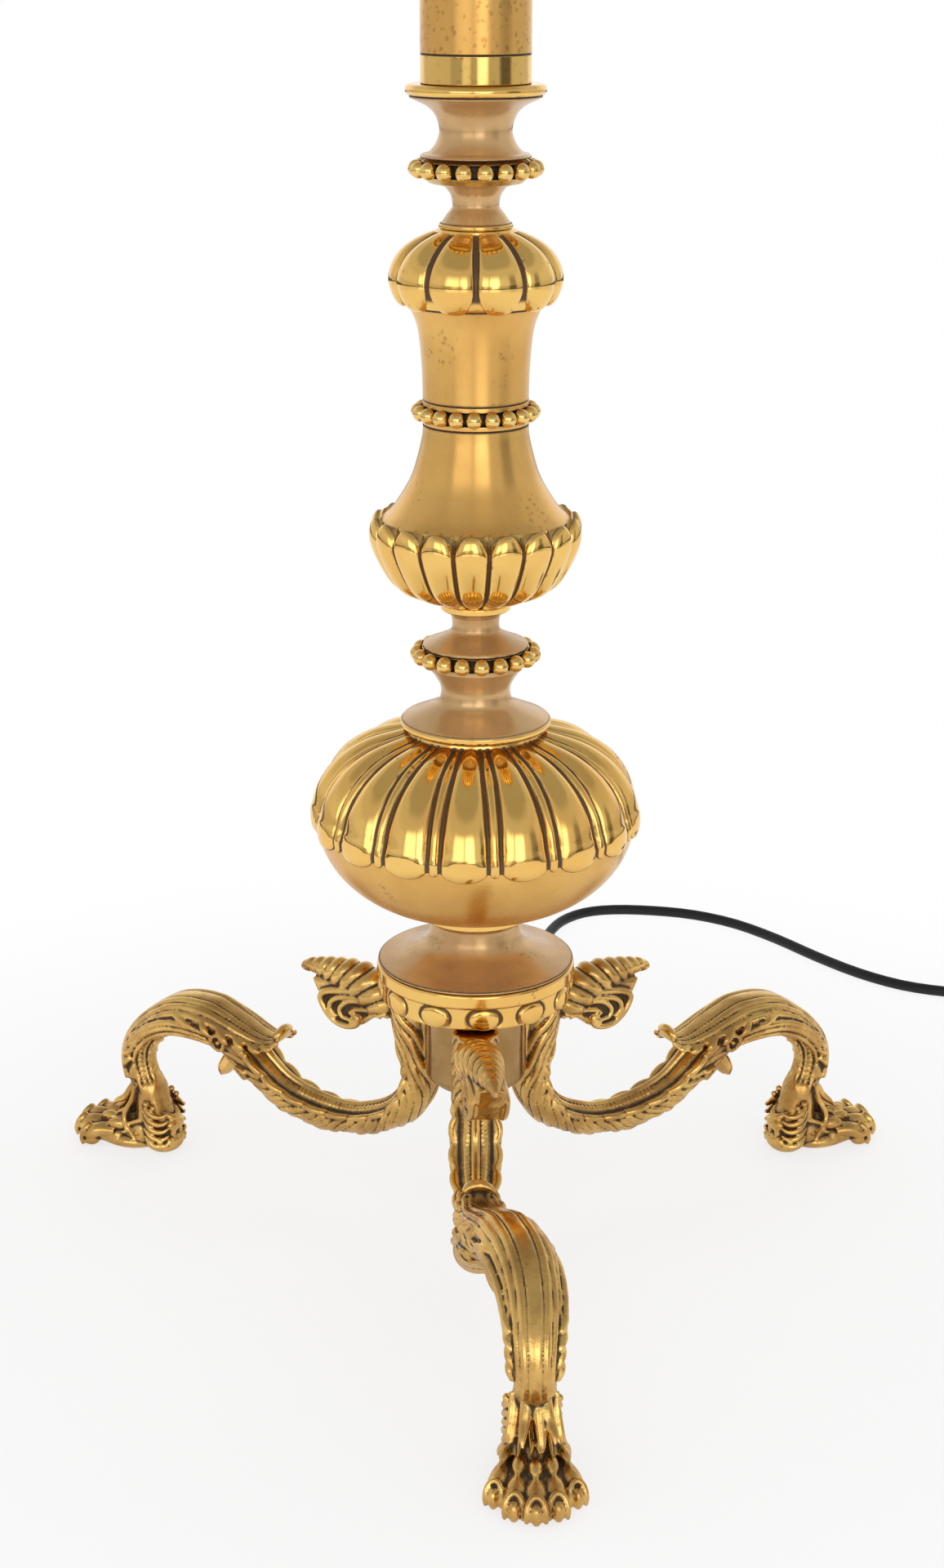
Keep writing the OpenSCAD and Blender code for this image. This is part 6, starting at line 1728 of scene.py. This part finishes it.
def buildWorld():
    world = bpy.data.worlds.new("studio")
    bpy.context.scene.world = world
    world.use_nodes = True
    tree = world.node_tree
    tree.nodes.clear()
    way = addNode(tree, "ShaderNodeTexCoord").outputs["Generated"]
    x, y, z = addNode(tree, "ShaderNodeSeparateXYZ", {0: way}).outputs
    turn = mathNode(tree, "ARCTAN2", x, mathNode(tree, "MULTIPLY", y, -1.0))
    share = mathNode(tree, "ADD", mathNode(tree, "DIVIDE", turn, 2 * math.pi), 0.5)
    rise = mathNode(tree, "MULTIPLY", mathNode(tree, "ARCSINE", z), 180 / math.pi)
    shake = mathNode(tree, "SUBTRACT", noiseNode(tree, way, 5.0, 2.0), 0.5)
    rough = mathNode(tree, "ADD", rise, mathNode(tree, "MULTIPLY", shake, room["ragged"]))

    def above(level, key):
        return rangeNode(tree, level, *room[key])

    def below(level, key, most=1.0):
        return rangeNode(tree, level, *room[key], most, 0.0)

    windows = roomRamp(tree, share, room["windows"])
    tone = mixColour(tree, above(rise, "windowBand"), roomRamp(tree, share, room["eyeLevel"]), windows)
    tone = mixColour(tree, above(rough, "wallBand"), tone, grey(room["wall"]))
    tone = mixColour(tree, above(rough, "ceilingBand"), tone, grey(room["ceiling"]))
    tone = mixColour(tree, below(rough, "skirtingBand"), tone, grey(room["skirting"]))
    far = rangeNode(tree, rise, *room["farFloorBand"], 0.0, room["floorGlow"])
    ground = mixColour(tree, far, grey(room["floor"]), windows)
    tone = mixColour(tree, below(rise, "floorBand"), tone, ground)
    path = addNode(tree, "ShaderNodeLightPath")
    glossy = path.outputs["Is Glossy Ray"]
    shiny = mixColour(tree, glossy, (*[room["diffuse"]] * 3, 1), tone)
    direct = mathNode(tree, "MAXIMUM", path.outputs["Is Camera Ray"], path.outputs["Is Transmission Ray"])
    colour = mixColour(tree, direct, shiny, (1, 1, 1, 1))
    strength = mathNode(tree, "ADD", mathNode(tree, "MULTIPLY", glossy, room["peak"] - 1.0), 1.0)
    light = addNode(tree, "ShaderNodeBackground", {"Color": colour, "Strength": strength})
    output = tree.nodes.new("ShaderNodeOutputWorld")
    tree.links.new(light.outputs[0], output.inputs["Surface"])


def addSoftbox(name, azimuth, elevation, distance, target, width, height, radiance):
    data = bpy.data.lights.new(name, "AREA")
    data.shape = "RECTANGLE"
    data.size, data.size_y = width, height
    data.energy = radiance * math.pi * width * height
    a, e = math.radians(azimuth), math.radians(elevation)
    offset = Vector((math.sin(a) * math.cos(e), -math.cos(a) * math.cos(e), math.sin(e))) * distance
    light = bpy.data.objects.new(name, data)
    light.location = Vector(target) + offset
    light.rotation_euler = (-offset).to_track_quat("-Z", "Y").to_euler()
    light.visible_glossy = False
    bpy.context.scene.collection.objects.link(light)


# name, azimuth and elevation in degrees, distance, target, width, height and radiance
softboxes = [
    ("keyBox", 14, 22, 1.75, (0, 0, 0.40), 0.42, 0.50, 3.4),
    ("fillBox", -17, 24, 1.85, (0, 0, 0.40), 0.26, 0.50, 2.2),
    ("backBox", 165, 40, 2.2, (0, 0, 0.5), 0.8, 0.8, 1.6),
]
buildFloor()
buildWorld()
for box in softboxes:
    addSoftbox(*box)
bpy.context.scene.view_settings.view_transform = "Standard"
print("stage and lights set")
